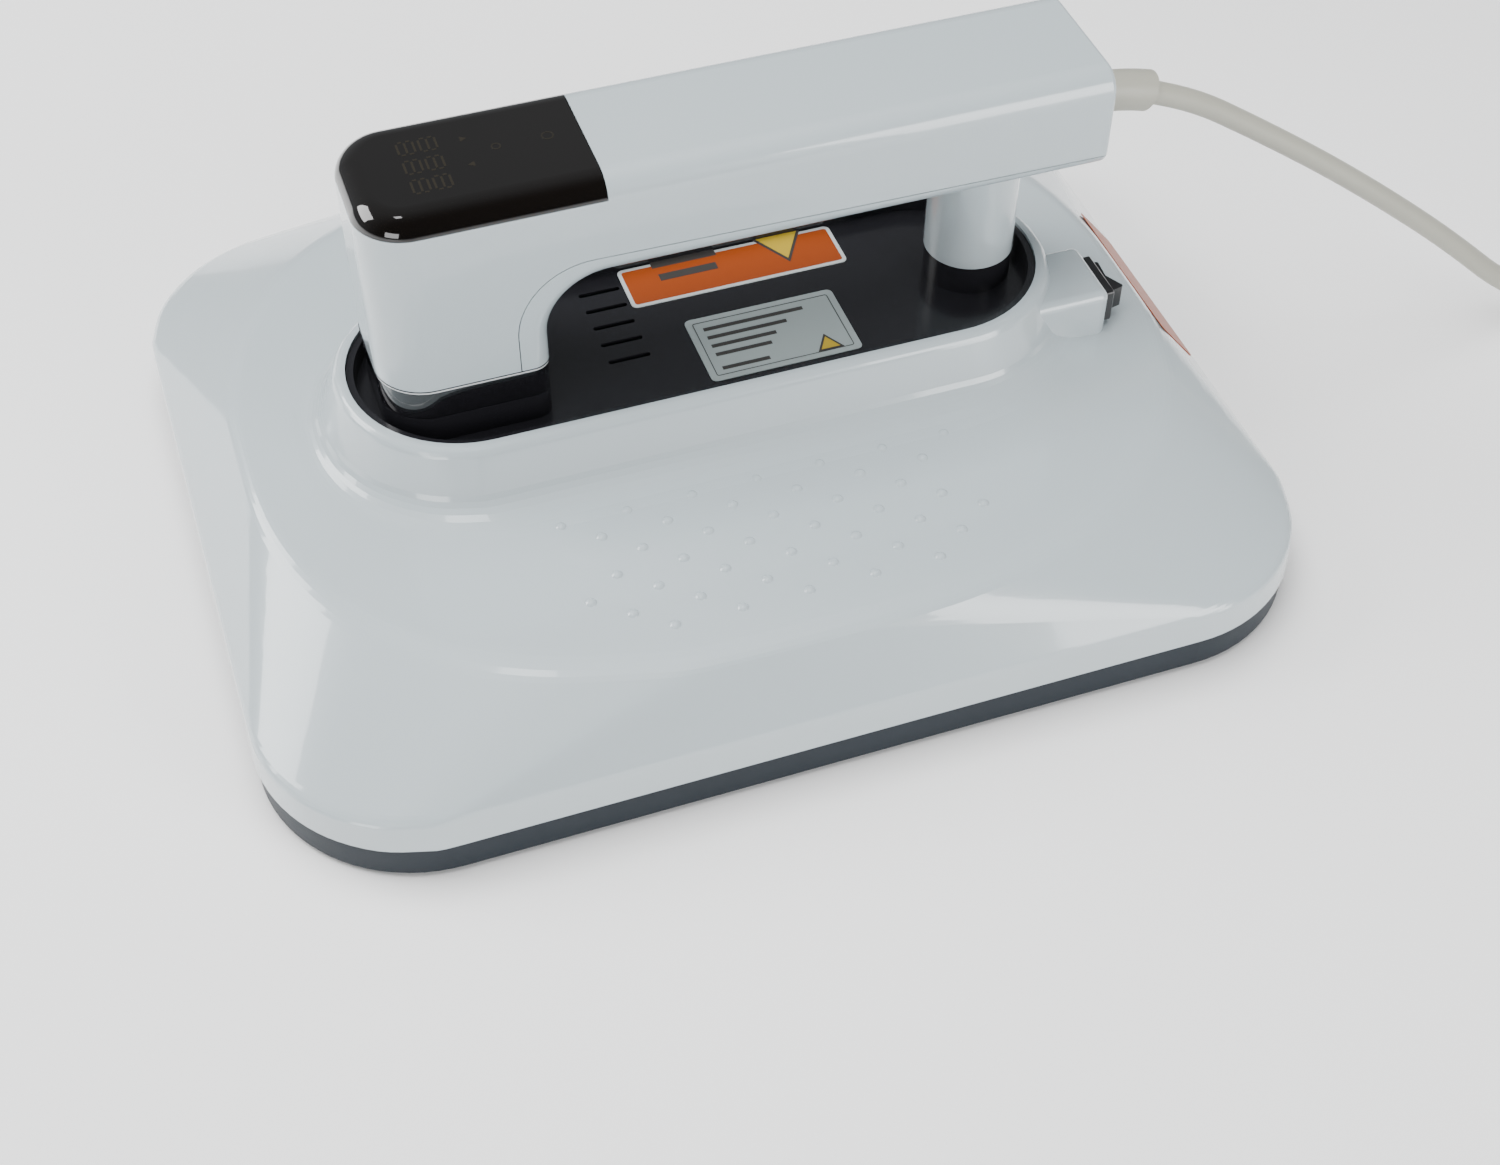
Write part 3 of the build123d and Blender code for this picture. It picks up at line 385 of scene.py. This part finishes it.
def moulded_group():
    """Group for moulded plastic: slow colour drift, uneven gloss and a fine moulded grain."""
    group = bpy.data.node_groups.get("moulded surface")
    if group:
        return group
    group = bpy.data.node_groups.new("moulded surface", "ShaderNodeTree")
    group_socket(group, "Colour", "INPUT", "NodeSocketColor", (0.5, 0.5, 0.5, 1.0))
    group_socket(group, "Tint", "INPUT", "NodeSocketColor", (0.5, 0.5, 0.5, 1.0))
    group_socket(group, "Roughness", "INPUT", "NodeSocketFloat", 0.3)
    group_socket(group, "Smudge", "INPUT", "NodeSocketFloat", 0.06)
    group_socket(group, "Grain Scale", "INPUT", "NodeSocketFloat", 2500.0)
    group_socket(group, "Grain Depth", "INPUT", "NodeSocketFloat", 0.02)
    group_socket(group, "Colour", "OUTPUT", "NodeSocketColor")
    group_socket(group, "Roughness", "OUTPUT", "NodeSocketFloat")
    group_socket(group, "Normal", "OUTPUT", "NodeSocketVector")
    nodes, links = group.nodes, group.links
    given = nodes.new("NodeGroupInput")
    made = nodes.new("NodeGroupOutput")
    place = nodes.new("ShaderNodeTexCoord")
    drift = nodes.new("ShaderNodeTexNoise")
    drift.inputs["Scale"].default_value = 14.0
    drift.inputs["Detail"].default_value = 3.0
    mix = nodes.new("ShaderNodeMix")
    mix.data_type = "RGBA"
    smudge = nodes.new("ShaderNodeTexNoise")
    smudge.inputs["Scale"].default_value = 45.0
    smudge.inputs["Detail"].default_value = 5.0
    smudge.inputs["Roughness"].default_value = 0.65
    centre = nodes.new("ShaderNodeMath")
    centre.operation = "SUBTRACT"
    centre.inputs[1].default_value = 0.5
    spread = nodes.new("ShaderNodeMath")
    spread.operation = "MULTIPLY_ADD"
    grain = nodes.new("ShaderNodeTexNoise")
    grain.inputs["Detail"].default_value = 2.0
    bump = nodes.new("ShaderNodeBump")
    bump.inputs["Distance"].default_value = 0.0004
    links.new(place.outputs["Object"], drift.inputs["Vector"])
    links.new(place.outputs["Object"], smudge.inputs["Vector"])
    links.new(place.outputs["Object"], grain.inputs["Vector"])
    links.new(drift.outputs["Fac"], mix.inputs["Factor"])
    links.new(given.outputs["Colour"], mix.inputs["A"])
    links.new(given.outputs["Tint"], mix.inputs["B"])
    links.new(mix.outputs["Result"], made.inputs["Colour"])
    links.new(smudge.outputs["Fac"], centre.inputs[0])
    links.new(centre.outputs["Value"], spread.inputs[0])
    links.new(given.outputs["Smudge"], spread.inputs[1])
    links.new(given.outputs["Roughness"], spread.inputs[2])
    links.new(spread.outputs["Value"], made.inputs["Roughness"])
    links.new(given.outputs["Grain Scale"], grain.inputs["Scale"])
    links.new(grain.outputs["Fac"], bump.inputs["Height"])
    links.new(given.outputs["Grain Depth"], bump.inputs["Strength"])
    links.new(bump.outputs["Normal"], made.inputs["Normal"])
    return group


def brushed_group():
    """Group for metal: streaks along one direction in colour, gloss and height."""
    group = bpy.data.node_groups.get("brushed surface")
    if group:
        return group
    group = bpy.data.node_groups.new("brushed surface", "ShaderNodeTree")
    group_socket(group, "Colour", "INPUT", "NodeSocketColor", (0.5, 0.5, 0.5, 1.0))
    group_socket(group, "Dark", "INPUT", "NodeSocketColor", (0.4, 0.4, 0.4, 1.0))
    group_socket(group, "Roughness", "INPUT", "NodeSocketFloat", 0.35)
    group_socket(group, "Streak", "INPUT", "NodeSocketVector", (900.0, 60.0, 900.0))
    group_socket(group, "Depth", "INPUT", "NodeSocketFloat", 0.04)
    group_socket(group, "Colour", "OUTPUT", "NodeSocketColor")
    group_socket(group, "Roughness", "OUTPUT", "NodeSocketFloat")
    group_socket(group, "Normal", "OUTPUT", "NodeSocketVector")
    nodes, links = group.nodes, group.links
    given = nodes.new("NodeGroupInput")
    made = nodes.new("NodeGroupOutput")
    place = nodes.new("ShaderNodeTexCoord")
    stretch = nodes.new("ShaderNodeVectorMath")
    stretch.operation = "MULTIPLY"
    streak = nodes.new("ShaderNodeTexNoise")
    streak.inputs["Scale"].default_value = 1.0
    streak.inputs["Detail"].default_value = 4.0
    mix = nodes.new("ShaderNodeMix")
    mix.data_type = "RGBA"
    spread = nodes.new("ShaderNodeMath")
    spread.operation = "MULTIPLY_ADD"
    spread.inputs[1].default_value = 0.16
    bump = nodes.new("ShaderNodeBump")
    bump.inputs["Distance"].default_value = 0.0003
    links.new(place.outputs["Object"], stretch.inputs[0])
    links.new(given.outputs["Streak"], stretch.inputs[1])
    links.new(stretch.outputs["Vector"], streak.inputs["Vector"])
    links.new(streak.outputs["Fac"], mix.inputs["Factor"])
    links.new(given.outputs["Dark"], mix.inputs["A"])
    links.new(given.outputs["Colour"], mix.inputs["B"])
    links.new(mix.outputs["Result"], made.inputs["Colour"])
    links.new(streak.outputs["Fac"], spread.inputs[0])
    links.new(given.outputs["Roughness"], spread.inputs[2])
    links.new(spread.outputs["Value"], made.inputs["Roughness"])
    links.new(streak.outputs["Fac"], bump.inputs["Height"])
    links.new(given.outputs["Depth"], bump.inputs["Strength"])
    links.new(bump.outputs["Normal"], made.inputs["Normal"])
    return group


# ------------------------------------------------------------------ materials
def surface(name, group, values, fixed=None):
    """Material whose colour, gloss and relief come from a group; fixed sets sockets of its shader."""
    material = bpy.data.materials.get(name)
    if material:
        return material
    material = bpy.data.materials.new(name)
    material.use_nodes = True
    nodes, links = material.node_tree.nodes, material.node_tree.links
    shader = nodes["Principled BSDF"]
    effect = nodes.new("ShaderNodeGroup")
    effect.node_tree = group
    for key, value in values.items():
        effect.inputs[key].default_value = value
    links.new(effect.outputs["Colour"], shader.inputs["Base Color"])
    links.new(effect.outputs["Roughness"], shader.inputs["Roughness"])
    links.new(effect.outputs["Normal"], shader.inputs["Normal"])
    for key, value in (fixed or {}).items():
        shader.inputs[key].default_value = value
    return material


def rgba(colour, gain=1.0):
    """Colour with a full alpha, made lighter or darker by gain."""
    return (colour[0] * gain, colour[1] * gain, colour[2] * gain, 1.0)


def moulded(name, colour, drift, roughness, smudge, scale, depth, fixed=None):
    """Moulded plastic in one colour with a slow drift towards a lighter or darker one."""
    values = {
        "Colour": rgba(colour),
        "Tint": rgba(colour, drift),
        "Roughness": roughness,
        "Smudge": smudge,
        "Grain Scale": scale,
        "Grain Depth": depth,
    }
    return surface(name, moulded_group(), values, fixed)


def metal(name, colour, roughness, streak, depth):
    """Metal with streaks."""
    values = {
        "Colour": rgba(colour),
        "Dark": rgba(colour, 0.78),
        "Roughness": roughness,
        "Streak": streak,
        "Depth": depth,
    }
    return surface(name, brushed_group(), values, {"Metallic": 1.0})


def white_shell():
    """Cool white gloss plastic of the housing and the grip."""
    finish = bpy.context.scene.press_finish
    fixed = {"IOR": 1.5, "Coat Weight": 0.9, "Coat Roughness": 0.05}
    return moulded("white shell", finish.shell, 0.985, finish.shell_gloss, 0.02, 2600.0, 0.008, fixed)


def ring_gloss():
    """Bright gloss of the thin ring under the column."""
    fixed = {"IOR": 1.5, "Coat Weight": 1.0, "Coat Roughness": 0.03}
    return moulded("ring gloss", (0.62, 0.64, 0.65), 0.95, 0.12, 0.03, 2600.0, 0.005, fixed)


def foot_gloss():
    """Polished near-black plastic of the column's foot."""
    colour = bpy.context.scene.press_finish.deck
    fixed = {"IOR": 1.5, "Coat Weight": 0.8, "Coat Roughness": 0.02}
    return moulded("foot gloss", rgba(colour, 0.6), 1.4, 0.07, 0.02, 2000.0, 0.003, fixed)


def deck_black():
    """Near-black gloss plastic of the deck."""
    colour = bpy.context.scene.press_finish.deck
    return moulded("deck black", colour, 1.5, 0.2, 0.1, 3000.0, 0.01, {"IOR": 1.5})


def skirt_dark():
    """Dark blue-grey satin plastic that bears heat."""
    colour = bpy.context.scene.press_finish.skirt
    return moulded("skirt dark", colour, 1.3, 0.5, 0.1, 2200.0, 0.1, {"Specular IOR Level": 0.3})


def display_dark():
    """Smoked gloss cover over the display."""
    fixed = {"IOR": 1.5, "Coat Weight": 0.6, "Coat Roughness": 0.02}
    return moulded("smoked cover", (0.0024, 0.0017, 0.0013), 1.5, 0.06, 0.02, 900.0, 0.003, fixed)


def switch_black():
    """Black moulded plastic of the switch with a fine grain."""
    return moulded("switch black", (0.010, 0.010, 0.011), 1.4, 0.3, 0.12, 3200.0, 0.08)


def cord_grey():
    """Beige-grey flexible sheath of the cord and its boot."""
    colour = bpy.context.scene.press_finish.cord
    return moulded("cord sheath", colour, 0.93, 0.42, 0.14, 1800.0, 0.1)


def plug_grey():
    """Beige-grey moulded plastic of the plug."""
    colour = bpy.context.scene.press_finish.cord
    return moulded("plug moulding", colour, 0.9, 0.45, 0.12, 1300.0, 0.12)


def label_silver():
    """Silver-grey printed sticker."""
    return moulded("silver sticker", (0.33, 0.38, 0.38), 1.06, 0.34, 0.1, 1500.0, 0.03)


def label_orange():
    """Orange ink of the sticker."""
    return moulded("orange ink", (0.30, 0.052, 0.006), 1.1, 0.42, 0.1, 1500.0, 0.03)


def label_white():
    """White paper edge of the stickers."""
    return moulded("sticker edge", (0.56, 0.60, 0.60), 0.96, 0.42, 0.08, 1500.0, 0.03)


def ink_dark():
    """Dark print on the stickers."""
    return moulded("dark ink", (0.035, 0.032, 0.03), 1.5, 0.5, 0.1, 1500.0, 0.02)


def ink_yellow():
    """Yellow print on the stickers."""
    return moulded("yellow ink", (0.55, 0.38, 0.03), 0.9, 0.45, 0.1, 1500.0, 0.02)


def print_dim():
    """Unlit marks that show faintly in the smoked cover."""
    return moulded("dim marks", (0.019, 0.016, 0.011), 0.8, 0.1, 0.03, 900.0, 0.004, {"IOR": 1.5})


def plate_aluminium():
    """Dark coated aluminium of the heating plate."""
    return metal("coated plate", (0.16, 0.16, 0.165), 0.38, (420.0, 420.0, 420.0), 0.12)


def steel():
    """Zinc-plated steel."""
    return metal("zinc steel", (0.55, 0.55, 0.56), 0.26, (900.0, 90.0, 900.0), 0.05)


def brass():
    """Plain brass."""
    return metal("brass", (0.72, 0.52, 0.22), 0.22, (90.0, 900.0, 900.0), 0.04)


def felt():
    """Off-white ceramic felt."""
    return moulded("ceramic felt", (0.60, 0.58, 0.52), 0.8, 0.9, 0.1, 500.0, 0.9)


def board_green():
    """Green glass-fibre board."""
    return moulded("glass-fibre board", (0.02, 0.14, 0.06), 1.3, 0.4, 0.1, 1100.0, 0.1)


def component_dark():
    """Dark component cases."""
    return moulded("dark case", (0.03, 0.03, 0.035), 1.3, 0.45, 0.1, 1800.0, 0.1)


def component_blue():
    """Blue component cases."""
    return moulded("blue case", (0.03, 0.09, 0.30), 0.85, 0.4, 0.1, 1800.0, 0.08)


def tie_black():
    """Woven black strap."""
    return moulded("woven strap", (0.012, 0.012, 0.012), 1.8, 0.85, 0.1, 1400.0, 0.9)


FINISHES = {
    "white_shell": white_shell,
    "deck_black": deck_black,
    "skirt_dark": skirt_dark,
    "display_dark": display_dark,
    "switch_black": switch_black,
    "cord_grey": cord_grey,
    "plug_grey": plug_grey,
    "label_silver": label_silver,
    "label_orange": label_white,
    "plate_aluminium": plate_aluminium,
    "steel": steel,
    "brass": brass,
    "felt": felt,
    "board_green": board_green,
    "component_dark": component_dark,
    "component_blue": component_blue,
    "tie_black": tie_black,
}
NODE_FINISHES = {
    "rear_label": label_orange,
    "column_ring": ring_gloss,
    "column_foot": foot_gloss,
}


# ------------------------------------------------------------------ copies of frame nodes
def frame_node(name):
    """Node of the frame, or an error that names the missing one."""
    if name not in NODES:
        raise RuntimeError(f"the frame has no node {name}")
    return NODES[name]


def merged_copy(name, nodes, angle=35):
    """One smooth-shaded piece from merged copies of frame nodes."""
    copies = []
    for node in nodes:
        copy = frame_node(node).copy()
        copy.data = copy.data.copy()
        copy.parent = None
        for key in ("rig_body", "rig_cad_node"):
            del copy[key]
        bpy.context.scene.collection.objects.link(copy)
        copies.append(copy)
    piece = join(copies, name)
    activate(piece)
    bpy.ops.mesh.customdata_custom_splitnormals_clear()
    bpy.ops.object.mode_set(mode="EDIT")
    bpy.ops.mesh.select_all(action="SELECT")
    bpy.ops.mesh.remove_doubles(threshold=0.00002)
    bpy.ops.object.mode_set(mode="OBJECT")
    smooth(piece, angle)
    return piece


# ------------------------------------------------------------------ operators: camera and stage
class PRESS_OT_camera(bpy.types.Operator):
    """Add the camera over the display end, looking down at the press"""

    bl_idname = "press.camera"
    bl_label = "Camera"

    def execute(self, context):
        place = Vector(CAMERA_PLACE)
        azimuth, elevation = math.radians(CAMERA_AZIMUTH), math.radians(CAMERA_ELEVATION)
        roll = math.radians(CAMERA_ROLL)
        flat = math.cos(elevation)
        back = Vector((math.sin(azimuth) * flat, -math.cos(azimuth) * flat, math.sin(elevation)))
        right = Vector((math.cos(azimuth), math.sin(azimuth), 0.0))
        up = back.cross(right)
        turned_right = right * math.cos(roll) + up * math.sin(roll)
        turned_up = up * math.cos(roll) - right * math.sin(roll)
        turn = Matrix((turned_right, turned_up, back)).transposed().to_4x4()
        bpy.ops.object.camera_add()
        camera = context.object
        camera.name = "camera"
        camera.matrix_world = Matrix.Translation(place) @ turn
        camera.data.sensor_width = 36.0
        camera.data.lens = context.scene.press_sizes.lens
        camera.data.clip_start = 0.01
        context.scene.camera = camera
        return {"FINISHED"}


def soft_light(name, place, target, size, energy):
    """Soft box light that faces a point."""
    bpy.ops.object.light_add(type="AREA", location=place)
    light = bpy.context.object
    light.name = name
    light.data.shape = "RECTANGLE"
    light.data.size, light.data.size_y = size
    light.data.energy = energy
    light.rotation_euler = (Vector(place) - Vector(target)).to_track_quat("Z", "Y").to_euler()
    return light


class PRESS_OT_stage(bpy.types.Operator):
    """Add the pale floor, the surrounding light and the soft boxes"""

    bl_idname = "press.stage"
    bl_label = "Stage"

    def studio_walls(self, tree):
        """Grey surroundings, bright behind the press and overhead and dim on the camera's side."""
        nodes, links = tree.nodes, tree.links
        place = nodes.new("ShaderNodeTexCoord")
        split = nodes.new("ShaderNodeSeparateXYZ")
        ramp = nodes.new("ShaderNodeMapRange")
        ramp.interpolation_type = "SMOOTHSTEP"
        ramp.inputs["From Min"].default_value = -0.55
        ramp.inputs["From Max"].default_value = 0.45
        ramp.inputs["To Min"].default_value = 0.06
        ramp.inputs["To Max"].default_value = 0.30
        background = nodes["Background"]
        background.inputs["Color"].default_value = (0.91, 0.955, 1.0, 1.0)
        links.new(place.outputs["Generated"], split.inputs["Vector"])
        links.new(split.outputs["Y"], ramp.inputs["Value"])
        links.new(ramp.outputs["Result"], background.inputs["Strength"])

    def execute(self, context):
        deselect()
        bpy.ops.mesh.primitive_plane_add(size=FLOOR_SIZE, location=(0.0, 0.0, -0.0002))
        floor = context.object
        floor.name = "floor"
        pale = bpy.data.materials.new("pale floor")
        pale.use_nodes = True
        shader = pale.node_tree.nodes["Principled BSDF"]
        shader.inputs["Base Color"].default_value = (0.95, 0.95, 0.95, 1.0)
        shader.inputs["Roughness"].default_value = 0.85
        floor.data.materials.append(pale)
        world = bpy.data.worlds.new("studio")
        world.use_nodes = True
        context.scene.world = world
        self.studio_walls(world.node_tree)
        for name, place, target, size, energy, shown in SOFT_BOXES:
            light = soft_light(name, place, target, size, energy)
            light.visible_glossy = shown
        return {"FINISHED"}


# ------------------------------------------------------------------ operators: cord
def coil_points():
    """Points of the stored turns: inwards on the surface, up, and outwards on top."""
    points = []
    rise = COIL_HIGH_Z - COIL_LOW_Z
    for turned in range(0, TURNED_ALL + 1, COIL_STEP):
        if turned <= TURNED_LOW:
            radius = COIL_OUTER + (COIL_INNER - COIL_OUTER) * turned / TURNED_LOW
            height = COIL_LOW_Z
        else:
            share = max(0.0, (turned - TURNED_UP) / (TURNED_ALL - TURNED_UP))
            radius = COIL_INNER + (COIL_LEAVE - COIL_INNER) * share
            height = COIL_LOW_Z + rise * min(1.0, (turned - TURNED_LOW) / (TURNED_UP - TURNED_LOW))
        angle = math.radians(90 - turned)
        x = COIL_CENTRE[0] + radius * math.cos(angle)
        y = COIL_CENTRE[1] + radius * math.sin(angle)
        points.append((x, y, height))
    return points


class PRESS_OT_cord(bpy.types.Operator):
    """Add the mains cord with its stored turns, tie, boot and plug"""

    bl_idname = "press.cord"
    bl_label = "Mains cord"

    def execute(self, context):
        sizes = context.scene.press_sizes
        lead_x = COIL_CENTRE[0] + COIL_LEAVE
        lead = [(lead_x, PLUG_NEAR + gap, COIL_HIGH_Z) for gap in LEAD_GAPS]
        points = CORD_ROUTE + coil_points() + lead
        curve = bpy.data.curves.new("cord", "CURVE")
        curve.dimensions = "3D"
        curve.bevel_depth = sizes.cord_diameter / 2
        curve.bevel_resolution = 6
        curve.resolution_u = 6
        curve.use_fill_caps = True
        spline = curve.splines.new("NURBS")
        spline.points.add(len(points) - 1)
        for point, place in zip(spline.points, points):
            point.co = (*place, 1.0)
        spline.order_u = 3
        spline.use_endpoint_u = True
        cord = bpy.data.objects.new("mains_cord", curve)
        context.scene.collection.objects.link(cord)
        curve.materials.append(cord_grey())
        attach(cord, "root")
        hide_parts("power_cord", "cord_coil")
        plug = merged_copy("plug_moulding", ["plug_body"])
        finish_piece(plug, plug_grey(), replaces=["plug_body"])
        boot = merged_copy("cord_boot", ["strain_relief"])
        low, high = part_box("strain_relief")
        activate(boot)
        bpy.ops.object.mode_set(mode="EDIT")
        bpy.ops.mesh.select_all(action="SELECT")
        bpy.ops.transform.resize(value=(1.0, BOOT_SLIM, BOOT_SLIM), center_override=(low + high) / 2)
        bpy.ops.object.mode_set(mode="OBJECT")
        finish_piece(boot, cord_grey(), replaces=["strain_relief"])
        strap = merged_copy("coil_strap", ["cord_tie"])
        round_edges(strap, 0.0005)
        finish_piece(strap, tie_black(), replaces=["cord_tie"])
        return {"FINISHED"}


# ------------------------------------------------------------------ operators: housing
class PRESS_OT_housing(bpy.types.Operator):
    """Finish the frame nodes in the colours of their record slots"""

    bl_idname = "press.housing"
    bl_label = "Housing and inner parts"

    def execute(self, context):
        slots = {row["node"]: row["material_slot"] for row in frame["record"]["subparts"]}
        for name, node in NODES.items():
            if slots.get(name) not in FINISHES:
                raise RuntimeError(f"no finish is set for node {name}")
            material = NODE_FINISHES.get(name, FINISHES[slots[name]])()
            if node.material_slots:
                for place in node.material_slots:
                    place.link = "OBJECT"
                    place.material = material
            else:
                node.data.materials.append(material)
        return {"FINISHED"}


class PRESS_OT_column_shadow_line(bpy.types.Operator):
    """Add the dark shadow seam between the column and its thin gloss ring"""

    bl_idname = "press.column_seam"
    bl_label = "Column seam"

    def execute(self, context):
        low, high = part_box("column_ring")
        seam = merged_copy("column_seam", ["column_ring"])
        activate(seam)
        bpy.ops.object.mode_set(mode="EDIT")
        bpy.ops.mesh.select_all(action="SELECT")
        centre = ((low.x + high.x) / 2, (low.y + high.y) / 2, high.z)
        grow = 1.0 + SHADOW_LINE_PROUD / (high.x - low.x)
        bpy.ops.transform.resize(value=(grow, grow, SHADOW_LINE_HEIGHT / (high.z - low.z)), center_override=centre)
        bpy.ops.transform.translate(value=(0.0, 0.0, SHADOW_LINE_RISE))
        bpy.ops.object.mode_set(mode="OBJECT")
        # the deck's near-black on this sliver paints the shadow line in the seam over the ring
        finish_piece(seam, deck_black())
        return {"FINISHED"}


# ------------------------------------------------------------------ operators: display
def segment_bars(x, y):
    """Seven bars of one digit; its upper side points along +X and it reads along -Y."""
    tall, wide, line = DIGIT_HEIGHT / 2, DIGIT_WIDTH / 2, SEGMENT / 2
    gap = SEGMENT_GAP * line
    bars = []
    for level in (-tall, 0.0, tall):
        bars.append((x + level - line, x + level + line, y - wide + gap, y + wide - gap))
    for side in (-wide, wide):
        for start, end in ((-tall, 0.0), (0.0, tall)):
            bars.append((x + start + gap, x + end - gap, y + side - line, y + side + line))
    return bars


class PRESS_OT_display(bpy.types.Operator):
    """Add the unlit digits and touch marks in the smoked cover"""

    bl_idname = "press.display"
    bl_label = "Display marks"

    def execute(self, context):
        height = context.scene.press_sizes.print_height
        base = COVER_TOP - height / 2
        bars = []
        for x in DIGIT_ROWS:
            for y in DIGIT_COLUMNS:
                for x_low, x_high, y_low, y_high in segment_bars(x, y):
                    corners = [(x_high, y_high), (x_low, y_high), (x_low, y_low), (x_high, y_low)]
                    bars.append(plate_piece(corners, base, height, "bar"))
        digits = join(bars, "display_digits")
        finish_piece(digits, print_dim())
        marks = []
        for x, y, turn in ARROWS:
            corners = []
            for corner in range(3):
                angle = math.radians(120.0 * corner + turn)
                corners.append((x + ARROW_RADIUS * math.cos(angle), y + ARROW_RADIUS * math.sin(angle)))
            marks.append(plate_piece(corners, base, height, "arrow"))
        for x, y, radius in RINGS:
            box = (x - radius, x + radius, y - radius, y + radius)
            marks.append(frame_print(*box, radius * 0.99, RING_LINE, base, height, "ring"))
        touch = join(marks, "touch_marks")
        finish_piece(touch, print_dim())
        return {"FINISHED"}


# ------------------------------------------------------------------ operators: labels
class PRESS_OT_labels(bpy.types.Operator):
    """Add the plain printed fields, bars and triangles on the stickers"""

    bl_idname = "press.labels"
    bl_label = "Sticker prints"

    def execute(self, context):
        height = context.scene.press_sizes.print_height
        top = SPEC_HIGH.z
        self.silver_prints(top, height)
        # orange field inside a white edge
        corners = rounded_corners(
            CAUTION_LOW.x + CAUTION_EDGE,
            CAUTION_HIGH.x - CAUTION_EDGE,
            CAUTION_LOW.y + CAUTION_EDGE,
            CAUTION_HIGH.y - CAUTION_EDGE,
            CAUTION_CORNER,
        )
        field = plate_piece(corners, top, height, "caution_field")
        finish_piece(field, label_orange())
        # dark bars and triangles, on the field and on the silver sticker
        level = top + height
        words = []
        for x, length, y in CAUTION_ROWS:
            words.append(self.bar(x, length, y, CAUTION_BAR_HALF, level, height))
        words.append(self.triangle(*DARK_TRIANGLE, level, height))
        words.append(self.triangle(*DARK_SMALL_TRIANGLE, top, height, up=True))
        finish_piece(join(words, "caution_print"), ink_dark())
        yellow = [
            self.triangle(*YELLOW_TRIANGLE, level + height, height),
            self.triangle(*YELLOW_SMALL_TRIANGLE, top + height, height, up=True),
        ]
        finish_piece(join(yellow, "caution_triangles"), ink_yellow())
        return {"FINISHED"}

    def silver_prints(self, top, height):
        """Thin frame line and plain bars on the silver sticker."""
        prints = [
            frame_print(
                SPEC_LOW.x + SPEC_EDGE,
                SPEC_HIGH.x - SPEC_EDGE,
                SPEC_LOW.y + SPEC_EDGE,
                SPEC_HIGH.y - SPEC_EDGE,
                SPEC_CORNER,
                SPEC_LINE,
                top,
                height,
                "line",
            )
        ]
        x = SPEC_LOW.x + SPEC_LEFT
        for row, length in enumerate(SPEC_ROWS):
            y = SPEC_HIGH.y - SPEC_FIRST_ROW - SPEC_ROW_STEP * row
            prints.append(self.bar(x, length, y, SPEC_BAR_HALF, top, height))
        y = SPEC_LOW.y + SPEC_LAST_ROW
        prints.append(self.bar(x, SPEC_LAST_LENGTH, y, SPEC_BAR_HALF, top, height))
        finish_piece(join(prints, "spec_print"), ink_dark())

    def bar(self, x, length, y, half, base, height):
        """Plain bar that stands for a line of print."""
        return block((x, y - half, base), (x + length, y + half, base + height), "bar")

    def triangle(self, x, tip_y, size, base, height, up=False):
        """Triangle with its tip towards -Y, or towards +Y if up."""
        half = size * TRIANGLE_HALF
        corners = [(x, tip_y), (x + half, tip_y + size), (x - half, tip_y + size)]
        if up:
            corners = [(x - half, tip_y), (x + half, tip_y), (x, tip_y + size)]
        return plate_piece(corners, base, height, "triangle")


# ------------------------------------------------------------------ panel and registration
class PRESS_PT_looks(bpy.types.Panel):
    """Panel that lists the pieces of the press"""

    bl_idname = "PRESS_PT_looks"
    bl_label = "Heat press"
    bl_space_type = "VIEW_3D"
    bl_region_type = "UI"
    bl_category = "Heat press"

    def draw(self, context):
        layout = self.layout
        for operator in OPERATORS:
            layout.operator(operator.bl_idname)
        finish, sizes = context.scene.press_finish, context.scene.press_sizes
        for name in ("shell", "deck", "skirt", "cord", "shell_gloss"):
            layout.prop(finish, name)
        for name in ("cord_length", "cord_diameter", "print_height", "lens"):
            layout.prop(sizes, name)


OPERATORS = (
    PRESS_OT_camera,
    PRESS_OT_cord,
    PRESS_OT_housing,
    PRESS_OT_column_shadow_line,
    PRESS_OT_display,
    PRESS_OT_labels,
    PRESS_OT_stage,
)
CLASSES = (FinishSettings, SizeSettings) + OPERATORS + (PRESS_PT_looks,)


def register():
    """Register the classes and the settings."""
    for cls in CLASSES:
        bpy.utils.register_class(cls)
    bpy.types.Scene.press_finish = PointerProperty(type=FinishSettings)
    bpy.types.Scene.press_sizes = PointerProperty(type=SizeSettings)


def unregister():
    """Remove the settings and the classes."""
    del bpy.types.Scene.press_sizes
    del bpy.types.Scene.press_finish
    for cls in reversed(CLASSES):
        bpy.utils.unregister_class(cls)


def main():
    """Build everything in order."""
    register()
    bpy.ops.press.camera()
    bpy.ops.press.cord()
    bpy.ops.press.housing()
    bpy.ops.press.column_seam()
    bpy.ops.press.display()
    bpy.ops.press.labels()
    bpy.ops.press.stage()


if __name__ == "__main__":
    main()
